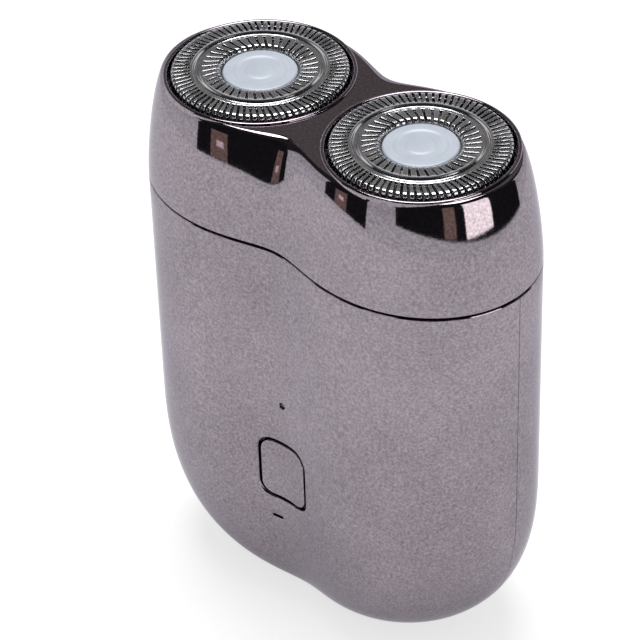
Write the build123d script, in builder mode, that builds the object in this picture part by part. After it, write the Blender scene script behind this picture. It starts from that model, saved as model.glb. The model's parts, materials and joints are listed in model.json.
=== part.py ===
from build123d import *
import math
import os

os.makedirs("parts", exist_ok=True)

# Two-headed rotary shaver. +Z is up through the heads, -Y is the front with the button,
# and the origin is the centre of the flat base. All sizes are in millimetres.

# Outer form
overall_height = 81.5
head_spacing = 29.0  # between the axes of the two shaving heads
guard_radius = 12.4
side_margin = 4.8  # casing beyond the guards at each end
waist_depth = 27.4  # front to back between the two lobes
lobe_slimming = 0.55  # how far the quarters of each lobe are drawn in
head_height = 17.2  # from the parting of head and body to the top of the guards
guard_rise = 0.76  # guards above the flat top of the head cover
end_shoulder = 3.15  # how far the head cover closes in at the ends
waist_shoulder = 3.4  # and at the waist
shoulder_power = 1.47
bottom_round_height = 27.2  # the ends start to round under at this height
bottom_power = 2.6
base_half_width = 8.0
edge_round_height = 18.3  # front and back start to round under at this height
edge_inset = 6.0
wall = 1.6
cover_top_thickness = 2.7
seam_gap = 0.24
seam_clearance = 0.5  # between the rim of the deck and the head cover

# Shaving heads
guard_skin = 0.4
guard_wall = 0.5
guard_depth = 4.7
guard_flange = 0.9
guard_flange_thickness = 0.8
guard_edge_radius = 0.6
outer_track = 3.52  # from the edge of the guard in to the middle of its groove
groove_width = 0.85
groove_depth = 0.3
inner_track = 3.63  # from the groove in to the edge of the cap
cap_thickness = 1.05
cap_recess = 0.42
cap_gap = 0.15
cap_ring_inset = 1.5  # ring pressed into the cap, in from its edge
cap_ring_width = 0.3
cap_ring_depth = 0.15
outer_slots = 80
inner_slots = 40
slot_width = 0.42
slot_slant = 10.0
inner_slot_slant = 14.0
slot_drop = 1.5
inner_slot_drop = 0.85
slot_margin = 0.45  # from the groove to the slots on either side of it
opening_gap = 0.45
lip_width = 0.65
lip_height = 0.3
float_travel = 1.0
blade_gap = 0.22
blade_thickness = 0.5
blade_height = 2.3
blade_slant = 25.0
blades_outer = 14
blades_inner = 10
moving_gap = 0.3

# Drive
pinion_teeth = 12
gear_teeth = 46
gear_thickness = 2.6
backlash = 0.14
spindle_radius = 1.5
running_gap = 0.05
drive_square = 2.8
drive_square_gap = 0.25
coupler_radius = 2.9
coupler_length = 6.9
spring_wire = 0.4
spring_radius = 2.3
spring_length = 2.8
spring_turns = 3.0
motor_radius = 7.7
motor_length = 24.0
motor_shaft_radius = 1.0
motor_can_wall = 0.6

# Body inside
deck_thickness = 2.0
deck_depth = 3.8  # underside of the deck below the head parting
rim_height = 2.5
rim_thickness = 1.0
gear_room = 4.7  # from the gear plate up to the deck
plate_thickness = 1.6
battery_radius = 7.1
battery_length = 43.0
board_thickness = 1.0
board_setback = 2.7  # front of the board behind the inside of the waist
board_drop = 5.1  # bottom edge of the board below the mark under the button
fit_gap = 0.12

# Controls and charging
button_width = 8.2
button_tall = 10.0
button_corner = 2.0
button_gap = 0.4
button_height = 25.1
button_travel = 0.4
light_height = 37.4
light_radius = 0.5
mark_height = 16.1
mark_shift = -1.6
mark_length = 1.9
mark_depth = 0.7
port_width = 8.9
port_depth = 3.2
port_gap = 0.3
port_length = 7.3

# Screws
screw_radius = 0.75
screw_head_radius = 1.45
screw_head_height = 0.9

groove_radius = guard_radius - outer_track
cap_radius = groove_radius - inner_track
half_width = head_spacing / 2 + guard_radius + side_margin
half_waist = waist_depth / 2
axis_x = head_spacing / 2
top = overall_height
seam_height = top - head_height
cover_top = top - guard_rise
cover_cavity_top = cover_top - cover_top_thickness
deck_bottom = seam_height - deck_depth
deck_top = deck_bottom + deck_thickness
plate_top = deck_bottom - gear_room
plate_bottom = plate_top - plate_thickness
sides = {"left": -axis_x, "right": axis_x}
outline_steps = 28
level_steps = 7


def finish(builder, name):
    builder.part.label = name
    export_step(builder.part, f"parts/{name}.step")


# Plan outline: two lobes joined by a waist, given by its half width and half waist.
def lobed_points(end, waist):
    slimming = lobe_slimming * (end - waist) / (half_width - half_waist)
    points = []
    for step in range(outline_steps):
        angle = math.tau * step / outline_steps
        radius = (end + waist) / 2 + (end - waist) / 2 * math.cos(2 * angle)
        radius -= slimming * math.sin(2 * angle) ** 2
        points.append((radius * math.cos(angle), radius * math.sin(angle)))
    return points


def lobed_loft(levels):
    with BuildPart() as form:
        for height, end, waist in levels:
            with BuildSketch(Plane.XY.offset(height)):
                with BuildLine():
                    Spline(*lobed_points(end, waist), periodic=True)
                make_face()
        loft()
    return form.part


def lobed_prism(bottom, height, inset):
    with BuildPart() as prism:
        with BuildSketch(Plane.XY.offset(bottom)):
            with BuildLine():
                Spline(*lobed_points(half_width - inset, half_waist - inset), periodic=True)
            make_face()
        extrude(amount=height)
    return prism.part


# The body is prismatic above and closes to the flat base along superellipse corners.
def casing_form(inset, top_height):
    levels = [
        (bottom_round_height + above, half_width - inset, half_waist - inset)
        for above in (6, 3)
    ]
    for step in range(level_steps + 1):
        turn = math.radians(90 * step / level_steps)
        drop = math.sin(turn) ** (2 / bottom_power)
        height = bottom_round_height - (bottom_round_height - inset) * drop
        reach = max(math.cos(turn), 0.0) ** (2 / bottom_power)
        end = base_half_width + (half_width - inset - base_half_width) * reach
        below = max(edge_round_height - height, 0.0) / (edge_round_height - inset)
        waist = half_waist - inset - edge_inset * (1 - math.sqrt(max(1 - below**2, 0.0)))
        levels.append((height, end, waist))
    with BuildPart() as form:
        add(lobed_loft(levels[::-1]))
        add(lobed_prism(bottom_round_height + 6, top_height - bottom_round_height - 6, inset))
    return form.part


# The head cover closes in over a rounded shoulder up to its flat top.
def cover_form(inset, top_height):
    levels = []
    for step in range(level_steps + 1):
        turn = math.radians(90 * step / level_steps)
        rise = math.sin(turn) ** (2 / shoulder_power)
        closing = 1 - max(math.cos(turn), 0.0) ** (2 / shoulder_power)
        end = half_width - inset - end_shoulder * closing
        waist = half_waist - inset - waist_shoulder * closing
        levels.append((seam_height + (top_height - seam_height) * rise, end, waist))
    return lobed_loft(levels)


# A pan-head screw pointing down, with the underside of its head at the origin.
def screw_form(length):
    with BuildPart() as form:
        with BuildSketch():
            Circle(screw_head_radius)
        extrude(amount=screw_head_height)
        chamfer(form.faces().sort_by(Axis.Z)[-1].edges(), 0.2)
        with BuildSketch(Plane.XY.offset(screw_head_height)):
            Rectangle(screw_head_radius * 1.2, 0.35)
            Rectangle(0.35, screw_head_radius * 1.2)
        extrude(amount=-0.45, mode=Mode.SUBTRACT)
        with BuildSketch():
            Circle(screw_radius)
        extrude(amount=-length)
    return form.part


# Casing
waist_post_radius = 2.0
deck_post_radius = 1.7
deck_post_spread = 1.5  # between a deck post and the waist post beside it
deck_post_setback = 1.4
deck_post_height = 4.3
deck_post_x = waist_post_radius + deck_post_spread + deck_post_radius
deck_post_y = half_waist - wall - deck_post_setback
deck_screw_depth = 3.6
deck_posts = [(x * deck_post_x, y * deck_post_y) for x in (-1, 1) for y in (-1, 1)]
board_front = -(half_waist - wall - board_setback)
board_back = board_front + board_thickness
board_left = -(motor_radius + 1.3)
board_right = axis_x + motor_radius
board_bottom = mark_height - board_drop
board_top = plate_bottom - 2.2
standoff_inset = 2.2
standoffs = [
    (x, z)
    for x in (board_left + standoff_inset, board_right - standoff_inset)
    for z in (board_bottom + standoff_inset, board_top - standoff_inset)
]
standoff_radius = 1.9
port_board_height = wall + port_length - 1.1
port_board_width = port_width + 7.0
port_board_depth = 10.0
port_posts = [
    (x * (port_board_width / 2 - 1.6), y * (port_board_depth / 2 - 1.5))
    for x in (-1, 1)
    for y in (-1, 1)
]
rib_reach = 6.0  # ribs that tie the deck posts to the casing
port_post_radius = 1.4
opening_width = button_width + 2 * button_gap
opening_tall = button_tall + 2 * button_gap
front_plane = Plane.XZ.offset(half_waist + 8)

with BuildPart() as inner_posts:
    with BuildSketch(Plane.XY.offset(deck_bottom - deck_post_height)):
        with Locations(deck_posts):
            Circle(deck_post_radius)
        with Locations([(x, y + math.copysign(rib_reach / 2, y)) for x, y in deck_posts]):
            Rectangle(2, rib_reach)
    extrude(amount=deck_post_height)
    with BuildSketch(Plane.XZ.offset(-board_front)):
        with Locations(standoffs):
            Circle(standoff_radius)
    extrude(amount=half_waist)
    with BuildSketch():
        with Locations(port_posts):
            Circle(port_post_radius)
    extrude(amount=port_board_height)
    add(casing_form(0, seam_height - seam_gap), mode=Mode.INTERSECT)

with BuildPart() as casing:
    add(casing_form(0, seam_height - seam_gap))
    add(casing_form(wall, seam_height + 1), mode=Mode.SUBTRACT)
    add(inner_posts.part)
    with BuildSketch(Plane.XY.offset(deck_bottom)):
        with Locations(deck_posts):
            Circle(screw_radius + fit_gap / 4)
    extrude(amount=-deck_screw_depth, mode=Mode.SUBTRACT)
    with BuildSketch(Plane.XZ.offset(-board_front)):
        with Locations(standoffs):
            Circle(screw_radius + fit_gap / 4)
    extrude(amount=2.2, mode=Mode.SUBTRACT)
    with BuildSketch(front_plane):
        with Locations((0, button_height)):
            RectangleRounded(opening_width, opening_tall, button_corner + button_gap)
        with Locations((0, light_height)):
            Circle(light_radius)
    extrude(amount=-half_waist, mode=Mode.SUBTRACT)
    with BuildSketch(Plane.XZ.offset(half_waist - mark_depth)):
        with Locations((mark_shift, mark_height)):
            SlotOverall(mark_length, 0.5)
    extrude(amount=2, mode=Mode.SUBTRACT)
    with BuildSketch():
        SlotOverall(port_width + 2 * port_gap, port_depth + 2 * port_gap)
    extrude(amount=wall * 2, mode=Mode.SUBTRACT)

with BuildPart() as front_shell:
    add(casing.part)
    split(bisect_by=Plane.XZ, keep=Keep.TOP)
finish(front_shell, "front_shell")

with BuildPart() as rear_shell:
    add(casing.part)
    split(bisect_by=Plane.XZ, keep=Keep.BOTTOM)
finish(rear_shell, "rear_shell")

# Power button, its light pipe, the light and the switch behind it
flange_front = -(half_waist - wall - 0.35)
flange_thickness = 0.75
stem_end = flange_front + flange_thickness + 0.1
plunger_front = stem_end + 0.1
switch_height = 0.9
switch_side = 4.0

with BuildPart() as power_button:
    with BuildSketch(front_plane):
        with Locations((0, button_height)):
            RectangleRounded(button_width, button_tall, button_corner)
    extrude(amount=-(half_waist + 8 + flange_front))
    add(casing_form(0, seam_height), mode=Mode.INTERSECT)
    with BuildSketch(Plane.XZ.offset(-flange_front)):
        with Locations((0, button_height)):
            RectangleRounded(opening_width + 1, opening_tall + 1, button_corner)
    extrude(amount=-flange_thickness)
    with BuildSketch(Plane.XZ.offset(-flange_front - flange_thickness)):
        with Locations((0, button_height)):
            Circle(1.2)
    extrude(amount=-(stem_end - flange_front - flange_thickness))
finish(power_button, "power_button")

with BuildPart() as switch_plunger:
    with BuildSketch(Plane.XZ.offset(-plunger_front)):
        with Locations((0, button_height)):
            Circle(1.0)
    extrude(amount=-(board_front - plunger_front - 0.6))
finish(switch_plunger, "switch_plunger")

with BuildPart() as tact_switch:
    with BuildSketch(Plane.XZ.offset(-board_front)):
        with Locations((0, button_height)):
            Rectangle(switch_side, switch_side)
    extrude(amount=switch_height)
    chamfer(tact_switch.edges().filter_by(Axis.Y), 0.4)
    with BuildSketch(Plane.XZ.offset(-board_front + switch_height)):
        with Locations((0, button_height)):
            Circle(1.1)
    extrude(amount=-(switch_height - 0.12), mode=Mode.SUBTRACT)
finish(tact_switch, "tact_switch")

with BuildPart() as light:
    with BuildSketch(Plane.XZ.offset(-board_front)):
        with Locations((0, light_height)):
            Rectangle(1.6, 0.8)
    extrude(amount=0.6)
finish(light, "light")

with BuildPart() as light_pipe:
    with BuildSketch(Plane.XZ.offset(-board_front + 0.8)):
        with Locations((0, light_height)):
            Circle(1.0)
    extrude(amount=half_waist - wall - 0.1 + board_front - 0.8)
    with BuildSketch(Plane.XZ.offset(half_waist - wall - 0.2)):
        with Locations((0, light_height)):
            Circle(light_radius - 0.04)
    extrude(amount=wall + 0.1)
finish(light_pipe, "light_pipe")

# Circuit board with its components and screws
with BuildPart() as circuit_board:
    with BuildSketch(Plane.XZ.offset(-board_front)):
        with Locations(((board_left + board_right) / 2, (board_bottom + board_top) / 2)):
            RectangleRounded(board_right - board_left, board_top - board_bottom, 1.5)
        with Locations(standoffs):
            Circle(screw_radius + fit_gap / 4, mode=Mode.SUBTRACT)
    extrude(amount=-board_thickness)
finish(circuit_board, "circuit_board")

chips = [(9.5, 27, 5.0, 5.0, 1.0), (17, 27, 4.0, 4.0, 1.9), (11, 36, 3.0, 5.0, 1.2)]
chips += [(17, 36, 3.2, 1.6, 1.2), (5.5, 38, 2.0, 1.2, 0.8), (9, 19, 6.0, 2.4, 1.8)]
with BuildPart() as board_parts:
    for x, z, length, tall, height in chips:
        with BuildSketch(Plane.XZ.offset(-board_front)):
            with Locations((x, z)):
                Rectangle(length, tall)
        extrude(amount=height)
finish(board_parts, "board_parts")

with BuildPart() as board_screws:
    with Locations([Location((x, board_back, z), (-90, 0, 0)) for x, z in standoffs]):
        add(screw_form(board_thickness + 1.8))
finish(board_screws, "board_screws")

# Charging socket standing on its own small board above the opening in the base
with BuildPart() as charge_board:
    with BuildSketch(Plane.XY.offset(port_board_height)):
        RectangleRounded(port_board_width, port_board_depth, 1)
    extrude(amount=board_thickness)
finish(charge_board, "charge_board")

port_bottom = port_board_height - port_length
with BuildPart() as charge_socket:
    with BuildSketch(Plane.XY.offset(port_bottom)):
        SlotOverall(port_width, port_depth)
    extrude(amount=port_length)
    with BuildSketch(Plane.XY.offset(port_bottom)):
        SlotOverall(port_width - 0.6, port_depth - 0.6)
    extrude(amount=port_length - 1, mode=Mode.SUBTRACT)
    with BuildSketch(Plane.XY.offset(port_bottom + 0.8)):
        Rectangle(6.7, 0.7)
    extrude(amount=port_length - 1)
finish(charge_socket, "charge_socket")

# Battery with its end tabs, held in a ribbed half cradle against the rear shell
battery_spacing = 1.4  # between the battery and the motor
battery_x = -(motor_radius + battery_radius + battery_spacing)
battery_top = plate_bottom - 1.6
battery_bottom = battery_top - battery_length
cradle_radius = battery_radius + 0.2
cradle_wall = 1.0
cradle_ribs = 4
rib_thickness = 1.2
rib_spacing = (battery_length - 12) / (cradle_ribs - 1)

with BuildPart() as battery:
    with BuildSketch(Plane.XY.offset(battery_bottom)):
        with Locations((battery_x, 0)):
            Circle(battery_radius)
    extrude(amount=battery_length - 0.8)
    fillet(battery.edges().filter_by(GeomType.CIRCLE), 0.6)
    with BuildSketch(Plane.XY.offset(battery_top - 0.8)):
        with Locations((battery_x, 0)):
            Circle(2.6)
    extrude(amount=0.8)
finish(battery, "battery")

with BuildPart() as battery_tabs:
    for height in (battery_bottom - 0.2, battery_top):
        with BuildSketch(Plane.XY.offset(height)):
            with Locations((battery_x, 1.4)):
                RectangleRounded(4, 8, 0.8)
        extrude(amount=0.2)
finish(battery_tabs, "battery_tabs")

with BuildPart() as battery_cradle:
    with BuildSketch(Plane.XY.offset(battery_bottom + 2)):
        with Locations((battery_x, 0)):
            Circle(cradle_radius + cradle_wall)
    extrude(amount=battery_length - 6)
    for rib in range(cradle_ribs):
        with BuildSketch(Plane.XY.offset(battery_bottom + 5 + rib * rib_spacing)):
            with Locations((battery_x, half_waist / 2)):
                Rectangle(2 * (cradle_radius + cradle_wall), half_waist * 1.6)
        extrude(amount=rib_thickness)
    with BuildSketch(Plane.XY.offset(battery_bottom)):
        with Locations((battery_x, 0)):
            Circle(cradle_radius)
    extrude(amount=battery_length, mode=Mode.SUBTRACT)
    split(bisect_by=Plane.XZ.offset(-0.5), keep=Keep.BOTTOM)
    add(casing_form(wall + fit_gap, seam_height), mode=Mode.INTERSECT)
finish(battery_cradle, "battery_cradle")

# Motor: can, magnets, rotor and end cap
motor_top = plate_bottom
motor_bottom = motor_top - motor_length
bearing_radius = motor_shaft_radius + running_gap
boss_radius = 3.0
boss_height = plate_thickness * 0.7
motor_screw_y = 5.0
end_cap_height = 2.2
magnet_inner = motor_radius - motor_can_wall - 1.4
rotor_radius = magnet_inner - 0.4
rotor_length = motor_length - end_cap_height - 7

with BuildPart() as motor_can:
    with BuildSketch(Plane.XY.offset(motor_bottom)):
        Circle(motor_radius)
    extrude(amount=motor_length)
    fillet(motor_can.faces().sort_by(Axis.Z)[-1].edges(), 0.8)
    with BuildSketch(Plane.XY.offset(motor_bottom)):
        Circle(motor_radius - motor_can_wall)
    extrude(amount=motor_length - motor_can_wall, mode=Mode.SUBTRACT)
    with BuildSketch(Plane.XY.offset(motor_top - motor_can_wall)):
        Circle(boss_radius)
    extrude(amount=motor_can_wall + boss_height)
    with BuildSketch(Plane.XY.offset(motor_top - 3)):
        Circle(bearing_radius)
        with Locations((0, motor_screw_y), (0, -motor_screw_y)):
            Circle(screw_radius + fit_gap / 4)
    extrude(amount=6, mode=Mode.SUBTRACT)
finish(motor_can, "motor_can")

with BuildPart() as motor_magnets:
    with BuildSketch(Plane.XY.offset(motor_bottom + end_cap_height + 2)):
        Circle(motor_radius - motor_can_wall - 0.02)
        Circle(magnet_inner, mode=Mode.SUBTRACT)
        Rectangle(4, motor_radius * 2, mode=Mode.SUBTRACT)
    extrude(amount=rotor_length + 2)
finish(motor_magnets, "motor_magnets")

with BuildPart() as motor_end_cap:
    with BuildSketch(Plane.XY.offset(motor_bottom)):
        Circle(motor_radius - motor_can_wall - 0.02)
    extrude(amount=end_cap_height)
    with BuildSketch(Plane.XY.offset(motor_bottom)):
        Circle(boss_radius - 0.5)
    extrude(amount=-1.4)
    with BuildSketch(Plane.XY.offset(motor_bottom - 0.6)):
        Circle(bearing_radius)
    extrude(amount=end_cap_height + 1, mode=Mode.SUBTRACT)
finish(motor_end_cap, "motor_end_cap")

with BuildPart() as motor_terminals:
    with BuildSketch(Plane.XY.offset(motor_bottom)):
        with Locations((4.6, 0), (-4.6, 0)):
            Rectangle(0.4, 2)
    extrude(amount=-3)
finish(motor_terminals, "motor_terminals")

with BuildPart() as motor_screws:
    with Locations((0, motor_screw_y, plate_top), (0, -motor_screw_y, plate_top)):
        add(screw_form(plate_thickness + motor_can_wall))
finish(motor_screws, "motor_screws")

with BuildPart() as motor_armature:
    with BuildSketch(Plane.XY.offset(motor_bottom + end_cap_height + 3)):
        Circle(rotor_radius)
        with PolarLocations(rotor_radius, 3):
            Rectangle(4, 1.2, mode=Mode.SUBTRACT)
        Circle(motor_shaft_radius, mode=Mode.SUBTRACT)
    extrude(amount=rotor_length)
finish(motor_armature, "motor_armature")

gear_bottom = plate_top + 1.0
gear_top = gear_bottom + gear_thickness
with BuildPart() as motor_shaft:
    with BuildSketch(Plane.XY.offset(motor_bottom - 0.4)):
        Circle(motor_shaft_radius)
    extrude(amount=gear_top + 0.4 - motor_bottom + 0.4)
finish(motor_shaft, "motor_shaft")

# Spur gears that share one module, so the pinion meets both drive gears
gear_module = head_spacing / (pinion_teeth + gear_teeth)
gear_holes = 6
gear_hole_radius = 1.8


def gear_corners(teeth, phase):
    pitch = gear_module * teeth / 2
    tooth = math.pi * gear_module / 2 - backlash
    flanks = [
        (pitch - 1.2 * gear_module, tooth * 0.62),
        (pitch, tooth * 0.5),
        (pitch + 0.85 * gear_module, tooth * 0.24),
    ]
    points = []
    for index in range(teeth):
        middle = math.tau * (index + phase) / teeth
        for radius, half in flanks:
            points.append((radius, middle - half / radius))
        for radius, half in reversed(flanks):
            points.append((radius, middle + half / radius))
    return [(radius * math.cos(turn), radius * math.sin(turn)) for radius, turn in points]


with BuildPart() as motor_pinion:
    with BuildSketch(Plane.XY.offset(gear_bottom - 0.3)):
        Polygon(*gear_corners(pinion_teeth, 0.5), align=None)
        Circle(motor_shaft_radius, mode=Mode.SUBTRACT)
    extrude(amount=gear_thickness + 0.6)
finish(motor_pinion, "motor_pinion")

# Gear plate, screwed up to the posts of the deck
end_post_radius = 1.4
waist_post_y = half_waist - wall - waist_post_radius - moving_gap
end_post_x = half_width - wall - end_post_radius - moving_gap
plate_holes = [(0, waist_post_y), (0, -waist_post_y), (end_post_x, 0), (-end_post_x, 0)]
bearing_boss = spindle_radius + 1.5
bore_radius = spindle_radius + running_gap

with BuildPart() as gear_plate:
    add(lobed_prism(plate_bottom, plate_thickness, wall + 0.4))
    with BuildSketch(Plane.XY.offset(plate_bottom - 0.8)):
        with Locations((axis_x, 0), (-axis_x, 0)):
            Circle(bearing_boss)
    extrude(amount=plate_thickness + 1.4)
    with BuildSketch(Plane.XY.offset(plate_top + 0.6)):
        with Locations((axis_x, 0), (-axis_x, 0)):
            Circle(bore_radius)
    extrude(amount=-plate_thickness - 0.8, mode=Mode.SUBTRACT)
    with BuildSketch(Plane.XY.offset(plate_bottom)):
        Circle(boss_radius + fit_gap / 4)
        with Locations(plate_holes + [(0, motor_screw_y), (0, -motor_screw_y)]):
            Circle(screw_radius + fit_gap / 4)
    extrude(amount=plate_thickness, mode=Mode.SUBTRACT)
finish(gear_plate, "gear_plate")

with BuildPart() as plate_screws:
    with Locations([Location((x, y, plate_bottom), (180, 0, 0)) for x, y in plate_holes]):
        add(screw_form(plate_thickness + 2.4))
finish(plate_screws, "plate_screws")

# Deck that closes the body, with a rim inside the head cover and posts down to the gear plate
rim_top = seam_height + rim_height
seal_radius = spindle_radius + 1.5
deck_boss = seal_radius + 1.1
seal_height = 1.4
magnet_radius = 3.0
magnet_height = 1.8
deck_boss_top = deck_top + seal_height
deck_inset = wall + fit_gap

with BuildPart() as deck:
    add(lobed_prism(deck_bottom, deck_thickness, deck_inset))
    add(lobed_prism(deck_top, rim_top - deck_top, wall + seam_clearance))
    add(
        lobed_prism(deck_top, rim_top - deck_top, wall + seam_clearance + rim_thickness),
        mode=Mode.SUBTRACT,
    )
    with BuildSketch(Plane.XY.offset(deck_bottom - 0.5)):
        with Locations((axis_x, 0), (-axis_x, 0)):
            Circle(spindle_radius + 1.6)
    extrude(amount=0.5)
    with BuildSketch(Plane.XY.offset(deck_top)):
        with Locations((axis_x, 0), (-axis_x, 0)):
            Circle(deck_boss)
        Circle(magnet_radius + 1)
    extrude(amount=seal_height)
    with BuildSketch(Plane.XY.offset(deck_boss_top)):
        with Locations((axis_x, 0), (-axis_x, 0)):
            Circle(seal_radius)
    extrude(amount=-seal_height, mode=Mode.SUBTRACT)
    with BuildSketch(Plane.XY.offset(deck_boss_top)):
        Circle(magnet_radius + fit_gap / 4)
    extrude(amount=-magnet_height, mode=Mode.SUBTRACT)
    with BuildSketch(Plane.XY.offset(deck_top)):
        with Locations(deck_posts):
            Circle(screw_head_radius + 0.3)
    extrude(amount=rim_top - deck_top, mode=Mode.SUBTRACT)
    with BuildSketch(Plane.XY.offset(plate_top)):
        with Locations((0, waist_post_y), (0, -waist_post_y)):
            Circle(waist_post_radius)
        with Locations((end_post_x, 0), (-end_post_x, 0)):
            Circle(end_post_radius)
    extrude(amount=gear_room)
    with BuildSketch(Plane.XY.offset(plate_top)):
        with Locations(plate_holes):
            Circle(screw_radius + fit_gap / 4)
    extrude(amount=3.4, mode=Mode.SUBTRACT)
    with BuildSketch(Plane.XY.offset(deck_boss_top)):
        with Locations((axis_x, 0), (-axis_x, 0)):
            Circle(bore_radius)
        with Locations(deck_posts):
            Circle(screw_radius + fit_gap / 4)
    extrude(amount=-6, mode=Mode.SUBTRACT)
finish(deck, "deck")

with BuildPart() as deck_screws:
    with Locations([(x, y, deck_top) for x, y in deck_posts]):
        add(screw_form(deck_thickness + 2.6))
finish(deck_screws, "deck_screws")

with BuildPart() as deck_gasket:
    add(lobed_prism(deck_top, 0.8, wall + 0.06))
    add(lobed_prism(deck_top, 0.8, wall + seam_clearance - 0.02), mode=Mode.SUBTRACT)
finish(deck_gasket, "deck_gasket")

with BuildPart() as deck_magnet:
    with BuildSketch(Plane.XY.offset(deck_boss_top - magnet_height)):
        Circle(magnet_radius)
    extrude(amount=magnet_height)
finish(deck_magnet, "deck_magnet")

# Heads: heights shared by the guards, cutters, couplers and the blade frame
guard_inner = guard_radius - guard_wall
flange_radius = guard_radius + guard_flange
flange_bottom = top - guard_depth
opening_radius = guard_radius + opening_gap
seat_radius = cap_radius + cap_gap
seat_wall = 0.4
seat_floor = cap_recess + cap_thickness + 0.03
seat_bevel = 0.5
outer_slot_start = groove_radius + groove_width / 2 + slot_margin
outer_slot_end = guard_radius + guard_wall
inner_slot_start = seat_radius + 0.35
inner_slot_end = groove_radius - groove_width / 2 - slot_margin
groove_skirt = 0.4
blade_top = top - guard_skin - blade_gap
blade_base = blade_top - blade_height
blade_base_thickness = 0.7
blade_outer = guard_inner - moving_gap
cutter_bottom = blade_base - blade_base_thickness
hub_thickness = 0.8
hub_bottom = cutter_bottom - hub_thickness - 1.6
hub_flange = 4.9
hub_radius = 3.0
hub_top = top - seat_floor - guard_skin - 0.4
frame_top = hub_bottom - float_travel - moving_gap
frame_thickness = 1.6
frame_bottom = frame_top - frame_thickness
frame_hole = coupler_radius + 0.7
tip_bottom = hub_bottom - 0.6
tip_top = tip_bottom + 3.1
coupler_bottom = tip_bottom - coupler_length
spindle_top = tip_bottom - float_travel - 0.5
collar_top = coupler_bottom - spring_length
collar_height = 0.6
frame_boss_y = half_waist - wall - 4.6
lug_radius = 2.0

with BuildPart() as head_cover:
    add(cover_form(0, cover_top))
    add(cover_form(wall, cover_cavity_top), mode=Mode.SUBTRACT)
    with BuildSketch(Plane.XY.offset(seam_height)):
        with Locations((axis_x, 0), (-axis_x, 0)):
            Circle(flange_radius + 0.4)
    extrude(amount=cover_cavity_top - seam_height, mode=Mode.SUBTRACT)
    with BuildSketch(Plane.XY.offset(cover_top - lip_height)):
        with Locations((axis_x, 0), (-axis_x, 0)):
            Circle(opening_radius + lip_width)
    extrude(amount=lip_height * 2)
    with BuildSketch(Plane.XY.offset(cover_cavity_top - 1)):
        with Locations((axis_x, 0), (-axis_x, 0)):
            Circle(opening_radius)
    extrude(amount=cover_top_thickness + 3, mode=Mode.SUBTRACT)
    with BuildSketch(Plane.XY.offset(frame_top)):
        with Locations((0, frame_boss_y), (0, -frame_boss_y)):
            Circle(lug_radius)
    extrude(amount=cover_cavity_top - frame_top)
    with BuildSketch(Plane.XY.offset(frame_top)):
        with Locations((0, frame_boss_y), (0, -frame_boss_y)):
            Circle(screw_radius + fit_gap / 4)
    extrude(amount=3, mode=Mode.SUBTRACT)
finish(head_cover, "head_cover")

# Blade frame: two spoked rings, a bridge screwed to the head cover and a post for the keeper
keeper_height = 1.0
keeper_bottom = deck_boss_top + moving_gap
ring_inner = guard_inner - 0.8
ring_outer = flange_radius - 0.1
with BuildPart() as blade_frame:
    with BuildSketch(Plane.XY.offset(frame_bottom)):
        for x in (axis_x, -axis_x):
            with Locations((x, 0)):
                Circle(ring_outer)
                Circle(ring_inner, mode=Mode.SUBTRACT)
                with PolarLocations((ring_inner + frame_hole) / 2, 4, start_angle=45):
                    Rectangle(ring_inner - frame_hole, 2)
                Circle(frame_hole + 1.8)
    extrude(amount=frame_thickness)
    with BuildSketch(Plane.XY.offset(frame_top)):
        for x in (axis_x, -axis_x):
            with Locations((x, 0)):
                Circle(ring_outer)
                Circle(ring_inner, mode=Mode.SUBTRACT)
    extrude(amount=flange_bottom - float_travel - moving_gap - frame_top)
    with BuildSketch(Plane.XY.offset(frame_bottom)):
        Rectangle(2 * lug_radius + 1, 2 * frame_boss_y)
        with Locations((0, frame_boss_y), (0, -frame_boss_y)):
            Circle(lug_radius + 0.5)
    extrude(amount=frame_thickness)
    with BuildSketch(Plane.XY.offset(frame_top)):
        with Locations((0, frame_boss_y), (0, -frame_boss_y)):
            Circle(lug_radius + 0.2)
    extrude(amount=flange_bottom - frame_top, mode=Mode.SUBTRACT)
    with BuildSketch(Plane.XY.offset(frame_bottom)):
        Circle(magnet_radius)
    extrude(amount=-(frame_bottom - keeper_bottom - keeper_height))
    with BuildSketch(Plane.XY.offset(frame_bottom)):
        with Locations((0, frame_boss_y), (0, -frame_boss_y)):
            Circle(screw_radius + fit_gap / 4)
        with Locations((axis_x, 0), (-axis_x, 0)):
            Circle(frame_hole)
    extrude(amount=frame_thickness, mode=Mode.SUBTRACT)
finish(blade_frame, "blade_frame")

with BuildPart() as head_keeper:
    with BuildSketch(Plane.XY.offset(keeper_bottom)):
        Circle(magnet_radius)
    extrude(amount=keeper_height)
finish(head_keeper, "head_keeper")

with BuildPart() as frame_screws:
    places = [(0, frame_boss_y, frame_bottom), (0, -frame_boss_y, frame_bottom)]
    with Locations([Location(place, (180, 0, 0)) for place in places]):
        add(screw_form(frame_thickness + 2.2))
finish(frame_screws, "frame_screws")

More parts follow.
